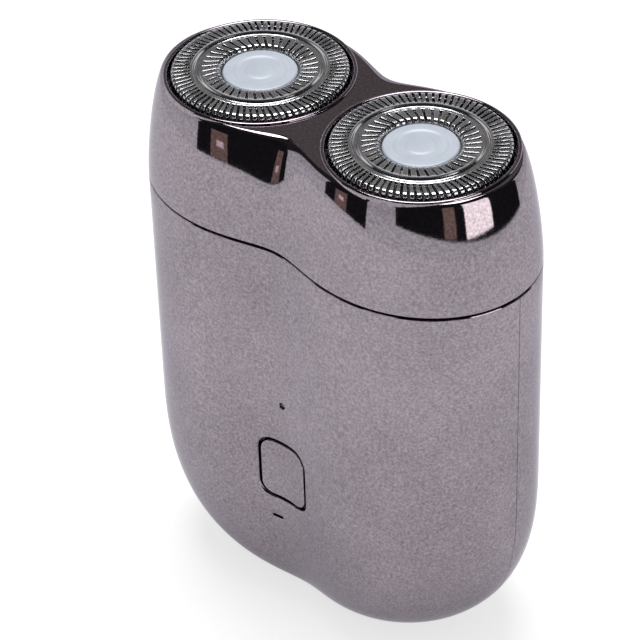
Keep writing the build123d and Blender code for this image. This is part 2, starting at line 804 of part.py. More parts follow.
for side, x in sides.items():
    head_plane = Plane((x, 0, top), x_dir=(1, 0, 0), z_dir=(0, -1, 0))

    # Slotted guard, a shallow cap with a groove between its two tracks and a seat for its cap
    with BuildPart() as guard:
        with BuildSketch(head_plane):
            with BuildLine():
                Polyline(
                    (0, -seat_floor),
                    (seat_radius, -seat_floor),
                    (seat_radius, -seat_bevel),
                    (seat_radius + seat_bevel + 0.1, 0),
                    (groove_radius - groove_width / 2, 0),
                    (groove_radius - groove_width / 2 + groove_depth / 2, -groove_depth),
                    (groove_radius + groove_width / 2 - groove_depth / 2, -groove_depth),
                    (groove_radius + groove_width / 2, 0),
                    (guard_radius, 0),
                    (guard_radius, guard_flange_thickness - guard_depth),
                    (flange_radius, guard_flange_thickness - guard_depth),
                    (flange_radius, -guard_depth),
                    (guard_inner, -guard_depth),
                    (guard_inner, -guard_skin),
                    (groove_radius + groove_width / 2 + 0.35, -guard_skin),
                    (groove_radius + groove_width / 2 + 0.15, -groove_depth - groove_skirt),
                    (groove_radius - groove_width / 2 - 0.15, -groove_depth - groove_skirt),
                    (groove_radius - groove_width / 2 - 0.35, -guard_skin),
                    (seat_radius + 0.75, -guard_skin),
                    (seat_radius + seat_wall, -0.85),
                    (seat_radius + seat_wall, -seat_floor - guard_skin),
                    (0, -seat_floor - guard_skin),
                    close=True,
                )
            make_face()
        revolve(axis=Axis((x, 0, 0), (0, 0, 1)))
        rims = guard.edges().filter_by(GeomType.CIRCLE).group_by(Axis.Z)[-1]
        fillet(rims.sort_by(SortBy.RADIUS)[-1], guard_edge_radius)
        with BuildSketch(Plane.XY.offset(top)):
            with Locations((x, 0)):
                with PolarLocations((outer_slot_start + outer_slot_end) / 2, outer_slots):
                    Rectangle(outer_slot_end - outer_slot_start, slot_width, rotation=slot_slant)
        extrude(amount=-slot_drop, mode=Mode.SUBTRACT)
        with BuildSketch(Plane.XY.offset(top)):
            with Locations((x, 0)):
                with PolarLocations((inner_slot_start + inner_slot_end) / 2, inner_slots):
                    Rectangle(
                        inner_slot_end - inner_slot_start, slot_width, rotation=inner_slot_slant
                    )
        extrude(amount=-inner_slot_drop, mode=Mode.SUBTRACT)
    finish(guard, f"guard_{side}")

    with BuildPart() as guard_cap:
        with BuildSketch(Plane.XY.offset(top - cap_recess - cap_thickness)):
            with Locations((x, 0)):
                Circle(cap_radius)
        extrude(amount=cap_thickness)
        fillet(guard_cap.faces().sort_by(Axis.Z)[-1].edges(), 0.35)
        with BuildSketch(Plane.XY.offset(top - cap_recess)):
            with Locations((x, 0)):
                Circle(cap_radius - cap_ring_inset)
                Circle(cap_radius - cap_ring_inset - cap_ring_width, mode=Mode.SUBTRACT)
        extrude(amount=-cap_ring_depth, mode=Mode.SUBTRACT)
    finish(guard_cap, f"guard_cap_{side}")

    # Cutter: two rings of slanted blades on a steel ring, carried by a plastic hub
    blade_tracks = [
        (groove_radius + groove_width / 2 + 0.6, blade_outer, blades_outer),
        (seat_radius + 0.8, groove_radius - groove_width / 2 - 0.65, blades_inner),
    ]
    with BuildPart() as cutter:
        with BuildSketch(Plane.XY.offset(cutter_bottom)):
            with Locations((x, 0)):
                Circle(blade_outer)
                Circle(seat_radius + 0.7, mode=Mode.SUBTRACT)
        extrude(amount=blade_base_thickness)
        with BuildSketch(Plane.XY.offset(blade_base)):
            with Locations((x, 0)):
                for inner, outer, blades in blade_tracks:
                    with PolarLocations((inner + outer) / 2, blades):
                        Rectangle(
                            outer - inner - 0.15, blade_thickness, rotation=blade_slant
                        )
        extrude(amount=blade_height)
    finish(cutter, f"cutter_{side}")

    with BuildPart() as cutter_hub:
        with BuildSketch(Plane.XY.offset(hub_bottom)):
            with Locations((x, 0)):
                Circle(hub_flange)
        extrude(amount=0.8)
        with BuildSketch(Plane.XY.offset(hub_bottom)):
            with Locations((x, 0)):
                Circle(hub_radius)
        extrude(amount=hub_top - hub_bottom)
        with BuildSketch(Plane.XY.offset(cutter_bottom - hub_thickness)):
            with Locations((x, 0)):
                Circle(groove_radius)
        extrude(amount=hub_thickness)
        with BuildSketch(Plane.XY.offset(hub_bottom)):
            with Locations((x, 0)):
                Rectangle(
                    drive_square + 2 * drive_square_gap, drive_square + 2 * drive_square_gap
                )
        extrude(amount=tip_top - hub_bottom + 0.4, mode=Mode.SUBTRACT)
    finish(cutter_hub, f"cutter_hub_{side}")

    # Coupler that slides on the hexagonal end of the spindle, pushed up by its spring
    with BuildPart() as coupler:
        with BuildSketch(Plane.XY.offset(coupler_bottom)):
            with Locations((x, 0)):
                Circle(coupler_radius)
        extrude(amount=coupler_length)
        chamfer(coupler.faces().sort_by(Axis.Z)[-1].edges(), 0.4)
        with BuildSketch(Plane.XY.offset(tip_bottom)):
            with Locations((x, 0)):
                Rectangle(drive_square, drive_square)
        extrude(amount=tip_top - tip_bottom)
        chamfer(coupler.faces().sort_by(Axis.Z)[-1].edges(), 0.4)
        with BuildSketch(Plane.XY.offset(coupler_bottom)):
            with Locations((x, 0)):
                RegularPolygon(spindle_radius + 0.08, 6, major_radius=False)
        extrude(amount=coupler_length - 0.3, mode=Mode.SUBTRACT)
    finish(coupler, f"coupler_{side}")

    with BuildPart() as spindle:
        with BuildSketch(Plane.XY.offset(plate_bottom)):
            with Locations((x, 0)):
                Circle(spindle_radius)
        extrude(amount=collar_top - plate_bottom)
        with BuildSketch(Plane.XY.offset(collar_top - collar_height)):
            with Locations((x, 0)):
                Circle(spring_radius + 0.4)
        extrude(amount=collar_height)
        with BuildSketch(Plane.XY.offset(collar_top)):
            with Locations((x, 0)):
                RegularPolygon(spindle_radius, 6, major_radius=False)
        extrude(amount=spindle_top - collar_top)
    finish(spindle, f"spindle_{side}")

    coil_height = spring_length - spring_wire - 0.1
    with BuildPart() as coupler_spring:
        with BuildLine():
            coil = Helix(
                pitch=coil_height / spring_turns,
                height=coil_height,
                radius=spring_radius,
                center=(x, 0, collar_top + spring_wire / 2 + 0.05),
            )
        with BuildSketch(coil ^ 0):
            Circle(spring_wire / 2)
        sweep(is_frenet=True)
    finish(coupler_spring, f"coupler_spring_{side}")

    with BuildPart() as spindle_seal:
        with BuildSketch(Plane.XY.offset(deck_top)):
            with Locations((x, 0)):
                Circle(seal_radius - 0.02)
                Circle(spindle_radius + 0.08, mode=Mode.SUBTRACT)
        extrude(amount=seal_height - 0.1)
    finish(spindle_seal, f"spindle_seal_{side}")

    with BuildPart() as drive_gear:
        with BuildSketch(Plane.XY.offset(gear_bottom)):
            with Locations((x, 0)):
                Polygon(*gear_corners(gear_teeth, 0), align=None)
        extrude(amount=gear_thickness)
        with BuildSketch(Plane.XY.offset(gear_top)):
            with Locations((x, 0)):
                with PolarLocations(gear_module * gear_teeth * 0.3, gear_holes):
                    Circle(gear_hole_radius)
        extrude(amount=-gear_thickness, mode=Mode.SUBTRACT)
        with BuildSketch(Plane.XY.offset(gear_bottom)):
            with Locations((x, 0)):
                Circle(spindle_radius)
        extrude(amount=gear_thickness, mode=Mode.SUBTRACT)
    finish(drive_gear, f"drive_gear_{side}")
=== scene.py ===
import json
import math

import bmesh
import bpy
from mathutils import Matrix, Vector


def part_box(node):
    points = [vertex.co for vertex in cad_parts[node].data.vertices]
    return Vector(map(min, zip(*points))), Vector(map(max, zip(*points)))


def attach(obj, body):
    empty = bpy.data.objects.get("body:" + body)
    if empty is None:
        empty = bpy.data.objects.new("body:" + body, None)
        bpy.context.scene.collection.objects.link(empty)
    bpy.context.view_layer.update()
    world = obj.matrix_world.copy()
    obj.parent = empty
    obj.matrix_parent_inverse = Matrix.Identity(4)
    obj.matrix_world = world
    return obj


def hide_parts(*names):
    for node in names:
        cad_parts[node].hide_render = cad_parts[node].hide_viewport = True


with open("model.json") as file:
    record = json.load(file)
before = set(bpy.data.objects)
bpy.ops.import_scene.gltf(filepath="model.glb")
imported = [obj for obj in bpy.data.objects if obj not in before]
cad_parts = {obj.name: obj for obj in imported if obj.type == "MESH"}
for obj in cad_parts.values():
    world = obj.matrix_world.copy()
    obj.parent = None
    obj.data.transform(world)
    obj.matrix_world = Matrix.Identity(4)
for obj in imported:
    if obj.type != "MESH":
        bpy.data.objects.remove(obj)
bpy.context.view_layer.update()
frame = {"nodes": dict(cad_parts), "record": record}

mm = 0.001  # shapes below are written in millimetres
tau = math.tau


def nodeBox(name):
    low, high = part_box(name)
    return [value / mm for value in low], [value / mm for value in high]


# mesh helpers
def buildObject(name, points, faces, material=None, sharpAngle=30):
    mesh = bpy.data.meshes.new(name)
    mesh.from_pydata([(x * mm, y * mm, z * mm) for x, y, z in points], [], faces)
    work = bmesh.new()
    work.from_mesh(mesh)
    bmesh.ops.remove_doubles(work, verts=work.verts, dist=1e-7)
    bmesh.ops.recalc_face_normals(work, faces=work.faces)
    work.to_mesh(mesh)
    work.free()
    piece = bpy.data.objects.new(name, mesh)
    bpy.context.collection.objects.link(piece)
    if material:
        mesh.materials.append(material)
    smoothPiece(piece, sharpAngle)
    return piece


def smoothPiece(piece, sharpAngle=30):
    mesh = piece.data
    mesh.polygons.foreach_set("use_smooth", [True] * len(mesh.polygons))
    mesh.set_sharp_from_angle(angle=math.radians(sharpAngle))
    mesh.update()


def applyAll(piece):
    graph = bpy.context.evaluated_depsgraph_get()
    mesh = bpy.data.meshes.new_from_object(piece.evaluated_get(graph))
    piece.modifiers.clear()
    piece.data = mesh


def combine(piece, tool, operation):
    step = piece.modifiers.new(operation, "BOOLEAN")
    step.operation = operation
    step.solver = "EXACT"
    step.object = tool
    applyAll(piece)
    bpy.data.objects.remove(tool)


def bridge(rings, closed=True):  # quads between rings of equal length
    count = len(rings[0])
    points = [point for ring in rings for point in ring]
    faces = []
    for row in range(len(rings) - 1):
        for column in range(count if closed else count - 1):
            after = (column + 1) % count
            base, above = row * count, (row + 1) * count
            faces.append((base + column, base + after, above + after, above + column))
    return points, faces


def capped(rings):  # closed rings, with a flat face at each end
    points, faces = bridge(rings)
    count = len(rings[0])
    faces.append(tuple(range(count)))
    faces.append(tuple(range(len(points) - count, len(points))))
    return points, faces


def gather(parts):  # several point and face lists as one
    points, faces = [], []
    for morePoints, moreFaces in parts:
        start = len(points)
        points += morePoints
        faces += [tuple(index + start for index in face) for face in moreFaces]
    return points, faces


def turned(profile, centre, steps=160, looped=False):  # a profile of (radius, z) turned about a vertical axis
    rings = []
    for radius, z in profile:
        reach = max(radius, 1e-6)
        rings.append([
            (centre + reach * math.cos(tau * k / steps), reach * math.sin(tau * k / steps), z)
            for k in range(steps)
        ])
    if looped:
        rings.append(rings[0])
    return bridge(rings)


def arc(radius, z, size, first, last, steps):  # points of a quarter round in a profile, angles in degrees
    turns = [math.radians(first + (last - first) * k / steps) for k in range(steps + 1)]
    return [(radius + size * math.cos(turn), z + size * math.sin(turn)) for turn in turns]


# outer form
coverLow, coverHigh = nodeBox("head_cover")
guardLow, guardHigh = nodeBox("guard_right")
casingHigh = nodeBox("front_shell")[1]
form = {
    "halfWidth": coverHigh[0],
    "halfWaist": 13.7,
    "slimming": 0.55,
    "axis": (guardLow[0] + guardHigh[0]) / 2,
    "top": guardHigh[2],
    "casingTop": casingHigh[2],
    "coverBottom": coverLow[2],
    "coverTop": guardHigh[2] - 0.76,
    "wall": 1.6,
    "endRound": 27.2,
    "endPower": 2.6,
    "baseHalf": 8.0,
    "faceRound": 18.3,
    "faceInset": 6.0,
    "endShoulder": 3.15,
    "waistShoulder": 3.4,
    "shoulderPower": 1.47,
}


def lobedRadius(turn, end, waist):
    slim = form["slimming"] * (end - waist) / (form["halfWidth"] - form["halfWaist"])
    return (end + waist) / 2 + (end - waist) / 2 * math.cos(2 * turn) - slim * math.sin(2 * turn) ** 2


def lobedRing(z, end, waist, steps):
    ring = []
    for k in range(steps):
        turn = tau * k / steps
        radius = lobedRadius(turn, end, waist)
        ring.append((radius * math.cos(turn), radius * math.sin(turn), z))
    return ring


def casingWaist(z, inset):
    below = max(form["faceRound"] - z, 0.0) / (form["faceRound"] - inset)
    return form["halfWaist"] - inset - form["faceInset"] * (1 - math.sqrt(max(1 - below**2, 0.0)))


def casingEnd(z):
    drop = max(form["endRound"] - z, 0.0) / form["endRound"]
    reach = (1 - drop ** form["endPower"]) ** (1 / form["endPower"])
    return form["baseHalf"] + (form["halfWidth"] - form["baseHalf"]) * reach


def casingRow(turn, inset):  # height, end and waist on the rounded bottom; turn is 90 degrees at the base
    drop = math.sin(turn) ** (2 / form["endPower"])
    reach = max(math.cos(turn), 0.0) ** (2 / form["endPower"])
    z = form["endRound"] - (form["endRound"] - inset) * drop
    end = form["baseHalf"] + (form["halfWidth"] - inset - form["baseHalf"]) * reach
    return z, end, casingWaist(z, inset)


def frontY(x, z):  # the front face of the casing at this place
    end, waist = casingEnd(z), casingWaist(z, 0.0)
    low, high = -math.pi / 2 - 0.9, -math.pi / 2 + 0.9
    for _ in range(40):
        middle = (low + high) / 2
        if lobedRadius(middle, end, waist) * math.cos(middle) < x:
            low = middle
        else:
            high = middle
    return lobedRadius(low, end, waist) * math.sin(low)


# node helpers
def addNode(tree, kind, inputs=None, **settings):
    made = tree.nodes.new(kind)
    for key, value in settings.items():
        setattr(made, key, value)
    for key, value in (inputs or {}).items():
        if isinstance(value, bpy.types.NodeSocket):
            tree.links.new(value, made.inputs[key])
        else:
            made.inputs[key].default_value = value
    return made


def newGroup(name, inputs, outputs):
    group = bpy.data.node_groups.new(name, "ShaderNodeTree")
    for label, kind, value in inputs:
        socket = group.interface.new_socket(name=label, in_out="INPUT", socket_type=kind)
        if value is not None:
            socket.default_value = value
    for label, kind in outputs:
        group.interface.new_socket(name=label, in_out="OUTPUT", socket_type=kind)
    return group, group.nodes.new("NodeGroupInput"), group.nodes.new("NodeGroupOutput")


def mathNode(tree, operation, first, second=0.0):
    return addNode(tree, "ShaderNodeMath", {0: first, 1: second}, operation=operation).outputs[0]


def makeGrain():  # fine sprayed or moulded grain with a slow drift over it
    group, given, result = newGroup(
        "fineGrain",
        [("Vector", "NodeSocketVector", None), ("Scale", "NodeSocketFloat", 3000.0),
         ("Drift", "NodeSocketFloat", 40.0)],
        [("Height", "NodeSocketFloat"), ("Shade", "NodeSocketFloat")],
    )
    fine = addNode(group, "ShaderNodeTexNoise", {
        "Vector": given.outputs["Vector"], "Scale": given.outputs["Scale"], "Detail": 2.0, "Roughness": 0.6,
    })
    slow = addNode(group, "ShaderNodeTexNoise", {
        "Vector": given.outputs["Vector"], "Scale": given.outputs["Drift"], "Detail": 3.0, "Roughness": 0.5,
    })
    mixed = mathNode(group, "MULTIPLY", fine.outputs["Fac"], 0.7)
    shade = mathNode(group, "MULTIPLY_ADD", slow.outputs["Fac"], 0.3)
    group.links.new(mixed, shade.node.inputs[2])
    group.links.new(fine.outputs["Fac"], result.inputs["Height"])
    group.links.new(shade, result.inputs["Shade"])
    return group


def makeBrush():  # long fine scratches across X
    group, given, result = newGroup(
        "brushedLines",
        [("Vector", "NodeSocketVector", None), ("Scale", "NodeSocketFloat", 3000.0),
         ("Stretch", "NodeSocketFloat", 0.04)],
        [("Height", "NodeSocketFloat"), ("Shade", "NodeSocketFloat")],
    )
    parted = addNode(group, "ShaderNodeSeparateXYZ", {"Vector": given.outputs["Vector"]})
    along = mathNode(group, "MULTIPLY", parted.outputs["X"], given.outputs["Stretch"])
    joined = addNode(group, "ShaderNodeCombineXYZ", {
        "X": along, "Y": parted.outputs["Y"], "Z": parted.outputs["Z"],
    })
    lines = addNode(group, "ShaderNodeTexNoise", {
        "Vector": joined.outputs["Vector"], "Scale": given.outputs["Scale"], "Detail": 3.0, "Roughness": 0.65,
    })
    group.links.new(lines.outputs["Fac"], result.inputs["Height"])
    group.links.new(lines.outputs["Fac"], result.inputs["Shade"])
    return group


def makeTurned():  # rings left by turning about the Z axis of the vector
    group, given, result = newGroup(
        "turnedLines",
        [("Vector", "NodeSocketVector", None), ("Scale", "NodeSocketFloat", 9000.0),
         ("Wander", "NodeSocketFloat", 300.0)],
        [("Height", "NodeSocketFloat"), ("Shade", "NodeSocketFloat")],
    )
    parted = addNode(group, "ShaderNodeSeparateXYZ", {"Vector": given.outputs["Vector"]})
    flat = addNode(group, "ShaderNodeCombineXYZ", {"X": parted.outputs["X"], "Y": parted.outputs["Y"]})
    reach = addNode(group, "ShaderNodeVectorMath", {0: flat.outputs["Vector"]}, operation="LENGTH")
    spread = mathNode(group, "MULTIPLY", reach.outputs["Value"], given.outputs["Scale"])
    rings = addNode(group, "ShaderNodeTexNoise", {"W": spread, "Scale": 1.0, "Detail": 2.0},
                    noise_dimensions="1D")
    patches = addNode(group, "ShaderNodeTexNoise", {
        "Vector": given.outputs["Vector"], "Scale": given.outputs["Wander"], "Detail": 2.0,
    })
    shade = mathNode(group, "MULTIPLY", rings.outputs["Fac"], patches.outputs["Fac"])
    doubled = mathNode(group, "MULTIPLY", shade, 2.0)
    group.links.new(rings.outputs["Fac"], result.inputs["Height"])
    group.links.new(doubled, result.inputs["Shade"])
    return group


def makeDust():  # sparse specks and smears that dull a finish
    group, given, result = newGroup(
        "lightDust",
        [("Vector", "NodeSocketVector", None), ("Scale", "NodeSocketFloat", 900.0),
         ("Coverage", "NodeSocketFloat", 0.3)],
        [("Mask", "NodeSocketFloat")],
    )
    specks = addNode(group, "ShaderNodeTexNoise", {
        "Vector": given.outputs["Vector"], "Scale": given.outputs["Scale"], "Detail": 5.0, "Roughness": 0.7,
    })
    edge = mathNode(group, "SUBTRACT", 1.0, given.outputs["Coverage"])
    above = mathNode(group, "SUBTRACT", specks.outputs["Fac"], edge)
    mask = mathNode(group, "MULTIPLY", above, 6.0)
    mask.node.use_clamp = True
    group.links.new(mask, result.inputs["Mask"])
    return group


textures = {"grain": makeGrain(), "brush": makeBrush(), "turned": makeTurned(), "dust": makeDust()}
secondInput = {"grain": "Drift", "brush": "Stretch", "turned": "Wander"}


def finishMaterial(name, look):
    material = bpy.data.materials.new(name)
    material.use_nodes = True
    tree = material.node_tree
    shader = tree.nodes["Principled BSDF"]
    place = addNode(tree, "ShaderNodeTexCoord")
    moved = addNode(tree, "ShaderNodeMapping", {
        "Vector": place.outputs["Object"], "Location": look.get("shift", (0, 0, 0)),
        "Rotation": look.get("turn", (0, 0, 0)),
    })
    kind, scale, second = look["texture"]
    pattern = addNode(tree, "ShaderNodeGroup", node_tree=textures[kind])
    tree.links.new(moved.outputs["Vector"], pattern.inputs["Vector"])
    pattern.inputs["Scale"].default_value = scale
    pattern.inputs[secondInput[kind]].default_value = second
    dust = addNode(tree, "ShaderNodeGroup", node_tree=textures["dust"])
    tree.links.new(moved.outputs["Vector"], dust.inputs["Vector"])
    dust.inputs["Scale"].default_value = look.get("dustScale", 900.0)
    dust.inputs["Coverage"].default_value = look.get("dust", 0.3)

    tone = addNode(tree, "ShaderNodeMapRange", {
        "Value": pattern.outputs["Shade"], "From Min": 0.3, "From Max": 0.7,
    })
    colour = addNode(tree, "ShaderNodeMix", {
        "Factor": tone.outputs["Result"], 6: (*look["dark"], 1.0), 7: (*look["light"], 1.0),
    }, data_type="RGBA")
    dulled = addNode(tree, "ShaderNodeMix", {
        "Factor": mathNode(tree, "MULTIPLY", dust.outputs["Mask"], look.get("dustTint", 0.15)),
        6: colour.outputs[2], 7: (0.55, 0.54, 0.53, 1.0),
    }, data_type="RGBA")
    rough = addNode(tree, "ShaderNodeMapRange", {
        "Value": tone.outputs["Result"], "To Min": look["rough"][0], "To Max": look["rough"][1],
    })
    rougher = mathNode(tree, "MULTIPLY_ADD", dust.outputs["Mask"], look.get("dustRough", 0.08))
    tree.links.new(rough.outputs["Result"], rougher.node.inputs[2])
    tree.links.new(dulled.outputs[2], shader.inputs["Base Color"])
    tree.links.new(rougher, shader.inputs["Roughness"])
    bump = addNode(tree, "ShaderNodeBump", {
        "Height": pattern.outputs["Height"], "Strength": look["bump"][0], "Distance": look["bump"][1],
    })
    tree.links.new(bump.outputs["Normal"], shader.inputs["Normal"])
    for key, value in look.get("shader", {}).items():
        shader.inputs[key].default_value = value
    return material


metal = {"Metallic": 1.0}
axisShift = form["axis"] * mm
looks = {
    "platedCasing": {
        "dark": (0.190, 0.166, 0.184), "light": (0.455, 0.400, 0.440), "rough": (0.035, 0.06),
        "texture": ("grain", 2700.0, 45.0), "bump": (0.10, 0.000012), "dust": 0.36, "dustRough": 0.04,
        "shader": {"Metallic": 1.0, "Specular Tint": (0.76, 0.75, 0.80, 1.0)},
    },
    "foilLeft": {
        "dark": (0.58, 0.59, 0.61), "light": (0.74, 0.75, 0.77), "rough": (0.13, 0.20),
        "texture": ("turned", 14000.0, 500.0), "bump": (0.12, 0.00001), "shift": (axisShift, 0, 0),
        "dust": 0.42, "dustScale": 1600.0, "shader": metal,
    },
    "capLeft": {
        "dark": (0.39, 0.43, 0.485), "light": (0.44, 0.48, 0.535), "rough": (0.40, 0.48),
        "texture": ("turned", 6000.0, 250.0), "bump": (0.08, 0.00002), "shift": (axisShift, 0, 0),
        "dust": 0.32, "shader": {"Metallic": 0.15, "Specular IOR Level": 0.6},
    },
    "bladeSteel": {
        "dark": (0.42, 0.42, 0.43), "light": (0.55, 0.55, 0.56), "rough": (0.22, 0.34),
        "texture": ("brush", 5000.0, 0.05), "bump": (0.25, 0.00002), "shader": metal,
    },
    "springSteel": {
        "dark": (0.50, 0.50, 0.51), "light": (0.60, 0.60, 0.61), "rough": (0.18, 0.28),
        "texture": ("grain", 4000.0, 300.0), "bump": (0.15, 0.00001), "shader": metal,
    },
    "spindleSteel": {
        "dark": (0.56, 0.56, 0.58), "light": (0.68, 0.68, 0.70), "rough": (0.14, 0.24),
        "texture": ("brush", 6000.0, 0.08), "bump": (0.2, 0.00001), "turn": (0, math.pi / 2, 0),
        "shader": metal,
    },
    "whiteAcetal": {
        "dark": (0.70, 0.70, 0.67), "light": (0.78, 0.78, 0.75), "rough": (0.34, 0.46),
        "texture": ("grain", 2600.0, 120.0), "bump": (0.12, 0.00002),
        "shader": {"Subsurface Weight": 0.05, "Subsurface Radius": (0.001, 0.001, 0.001)},
    },
    "blackPlastic": {
        "dark": (0.010, 0.010, 0.011), "light": (0.020, 0.020, 0.022), "rough": (0.46, 0.60),
        "texture": ("grain", 2200.0, 90.0), "bump": (0.35, 0.00003), "dustTint": 0.05,
    },
    "sealRubber": {
        "dark": (0.012, 0.012, 0.012), "light": (0.024, 0.024, 0.024), "rough": (0.68, 0.82),
        "texture": ("grain", 1800.0, 150.0), "bump": (0.2, 0.00003), "dustTint": 0.06,
    },
    "motorSteel": {
        "dark": (0.44, 0.45, 0.47), "light": (0.58, 0.59, 0.61), "rough": (0.24, 0.38),
        "texture": ("brush", 3600.0, 0.06), "bump": (0.2, 0.00002), "shader": metal,
    },
    "brassParts": {
        "dark": (0.62, 0.44, 0.18), "light": (0.76, 0.57, 0.26), "rough": (0.20, 0.32),
        "texture": ("brush", 4200.0, 0.1), "bump": (0.2, 0.00002), "shader": metal,
    },
    "batteryWrap": {
        "dark": (0.03, 0.13, 0.36), "light": (0.05, 0.18, 0.44), "rough": (0.28, 0.40),
        "texture": ("grain", 1400.0, 60.0), "bump": (0.2, 0.00004),
        "shader": {"Coat Weight": 0.35, "Coat Roughness": 0.2},
    },
    "magnetPlating": {
        "dark": (0.66, 0.64, 0.60), "light": (0.76, 0.74, 0.70), "rough": (0.10, 0.20),
        "texture": ("grain", 2000.0, 200.0), "bump": (0.1, 0.00002), "shader": metal,
    },
    "boardGreen": {
        "dark": (0.010, 0.080, 0.035), "light": (0.016, 0.125, 0.055), "rough": (0.26, 0.38),
        "texture": ("grain", 1500.0, 220.0), "bump": (0.15, 0.00002), "shader": {"Coat Weight": 0.3},
    },
    "portSteel": {
        "dark": (0.56, 0.56, 0.57), "light": (0.70, 0.70, 0.71), "rough": (0.20, 0.32),
        "texture": ("brush", 4200.0, 0.06), "bump": (0.2, 0.00002), "shader": metal,
    },
    "contactGold": {
        "dark": (0.78, 0.56, 0.22), "light": (0.88, 0.66, 0.30), "rough": (0.18, 0.28),
        "texture": ("grain", 5000.0, 300.0), "bump": (0.1, 0.00001), "shader": metal,
    },
    "lightClear": {
        "dark": (0.03, 0.03, 0.035), "light": (0.05, 0.05, 0.055), "rough": (0.08, 0.14),
        "texture": ("grain", 3000.0, 200.0), "bump": (0.05, 0.00001),
        "shader": {"Coat Weight": 0.6, "Specular IOR Level": 0.7},
    },
}
looks["foilRight"] = {**looks["foilLeft"], "shift": (-axisShift, 0, 0)}
looks["capRight"] = {**looks["capLeft"], "shift": (-axisShift, 0, 0)}
materials = {name: finishMaterial(name, look) for name, look in looks.items()}
print("materials ready")

# casing shells
shell = {
    "columns": 170,
    "bottomRows": 44,
    "lowWallTop": 36.0,
    "lowWallRows": 8,
    "highWallRows": 9,
    "rimRound": 0.22,
    "innerRim": 0.12,
    "partingEase": 0.28,  # depth of the groove along the vertical parting line
    "partingHalf": 0.13,
    "partingGap": 0.02,
    "portHalfLong": 4.75,
    "portHalfShort": 1.9,
    "portBevel": 0.25,
}


def stadiumRadius(turn, grow):
    halfShort = shell["portHalfShort"] + grow
    straight = shell["portHalfLong"] - shell["portHalfShort"]
    across, up = abs(math.cos(turn)), abs(math.sin(turn))
    if up > 1e-9 and halfShort / up * across <= straight:
        return halfShort / up
    return straight * across + math.sqrt(max(halfShort**2 - (straight * up) ** 2, 0.0))


def casingProfile(inset, eased):  # rows of (z, radius function, easing at the parting line) from port to rim
    base = (form["baseHalf"], casingWaist(inset, inset))
    bevel = shell["portBevel"]
    rows = [(inset + (bevel if inset == 0 else 0), lambda turn: stadiumRadius(turn, 0), 0)]
    for share in (0.0, 0.35, 0.7):
        rows.append((inset, lambda turn, share=share: (1 - share) * stadiumRadius(turn, bevel)
                     + share * lobedRadius(turn, *base), 0))
    for step in range(shell["bottomRows"] + 1):
        z, end, waist = casingRow(math.pi / 2 * (1 - step / shell["bottomRows"]), inset)
        rows.append((z, lambda turn, end=end, waist=waist: lobedRadius(turn, end, waist), eased))
    heights = []
    lowRise = shell["lowWallTop"] - form["endRound"]
    rimStart = form["casingTop"] - shell["rimRound"]
    highRise = rimStart - shell["lowWallTop"]
    for step in range(1, shell["lowWallRows"] + 1):
        heights.append(form["endRound"] + lowRise * step / shell["lowWallRows"])
    for step in range(1, shell["highWallRows"] + 1):
        heights.append(shell["lowWallTop"] + highRise * step / shell["highWallRows"])
    size = shell["rimRound"] if inset == 0 else shell["innerRim"]
    sign = 1 if inset == 0 else -1
    wallRow = [(z, 0.0) for z in heights]
    for turn in (30, 60, 90):
        rise = math.sin(math.radians(turn)) * size
        drawn = (1 - math.cos(math.radians(turn))) * size
        wallRow.append((form["casingTop"] - size + rise, drawn))
    for z, drawn in wallRow:
        end = form["halfWidth"] - inset - sign * drawn
        waist = form["halfWaist"] - inset - sign * drawn
        rows.append((z, lambda turn, end=end, waist=waist: lobedRadius(turn, end, waist), eased))
    return rows


def casingHalf(name, firstTurn):
    count = shell["columns"]
    groove = [shell["partingGap"], shell["partingHalf"] * 0.6, shell["partingHalf"]]
    beside = [value / form["halfWidth"] for value in groove]
    turns = [firstTurn + value for value in beside]
    turns += [firstTurn + math.pi * k / count for k in range(1, count)]
    turns += [firstTurn + math.pi - value for value in beside[::-1]]
    easing = {0: 1.0, 1: 0.2, len(turns) - 2: 0.2, len(turns) - 1: 1.0}
    walls = []
    for inset in (0.0, form["wall"]):
        rings = []
        for z, radiusAt, eased in casingProfile(inset, 0 if inset else shell["partingEase"]):
            ring = []
            for column, turn in enumerate(turns):
                radius = radiusAt(turn) - eased * easing.get(column, 0)
                ring.append((radius * math.cos(turn), radius * math.sin(turn), z))
            rings.append(ring)
        walls.append(rings)
    outer, inner = walls
    around = outer + inner[::-1] + [outer[0]]
    points, faces = bridge(around, closed=False)
    width, rows = len(turns), len(outer)
    for column in (0, width - 1):
        for row in range(rows - 1):
            inside = 2 * rows - 1 - row
            faces.append((row * width + column, (row + 1) * width + column,
                          (inside - 1) * width + column, inside * width + column))
    return buildObject(name, points, faces, materials["platedCasing"])


def roundedRect(width, tall, corner, arcSteps=8, sideSteps=7):
    ring = []
    corners = [(1, 1, 0), (-1, 1, 90), (-1, -1, 180), (1, -1, 270)]
    for index, (sideX, sideZ, start) in enumerate(corners):
        centreX, centreZ = sideX * (width / 2 - corner), sideZ * (tall / 2 - corner)
        for step in range(arcSteps + 1):
            turn = math.radians(start + 90 * step / arcSteps)
            ring.append((centreX + corner * math.cos(turn), centreZ + corner * math.sin(turn)))
        nextX, nextZ, nextStart = corners[(index + 1) % 4]
        last = ring[-1]
        turn = math.radians(nextStart)
        goal = (nextX * (width / 2 - corner) + corner * math.cos(turn),
                nextZ * (tall / 2 - corner) + corner * math.sin(turn))
        for step in range(1, sideSteps):
            share = step / sideSteps
            ring.append((last[0] + (goal[0] - last[0]) * share, last[1] + (goal[1] - last[1]) * share))
    return ring


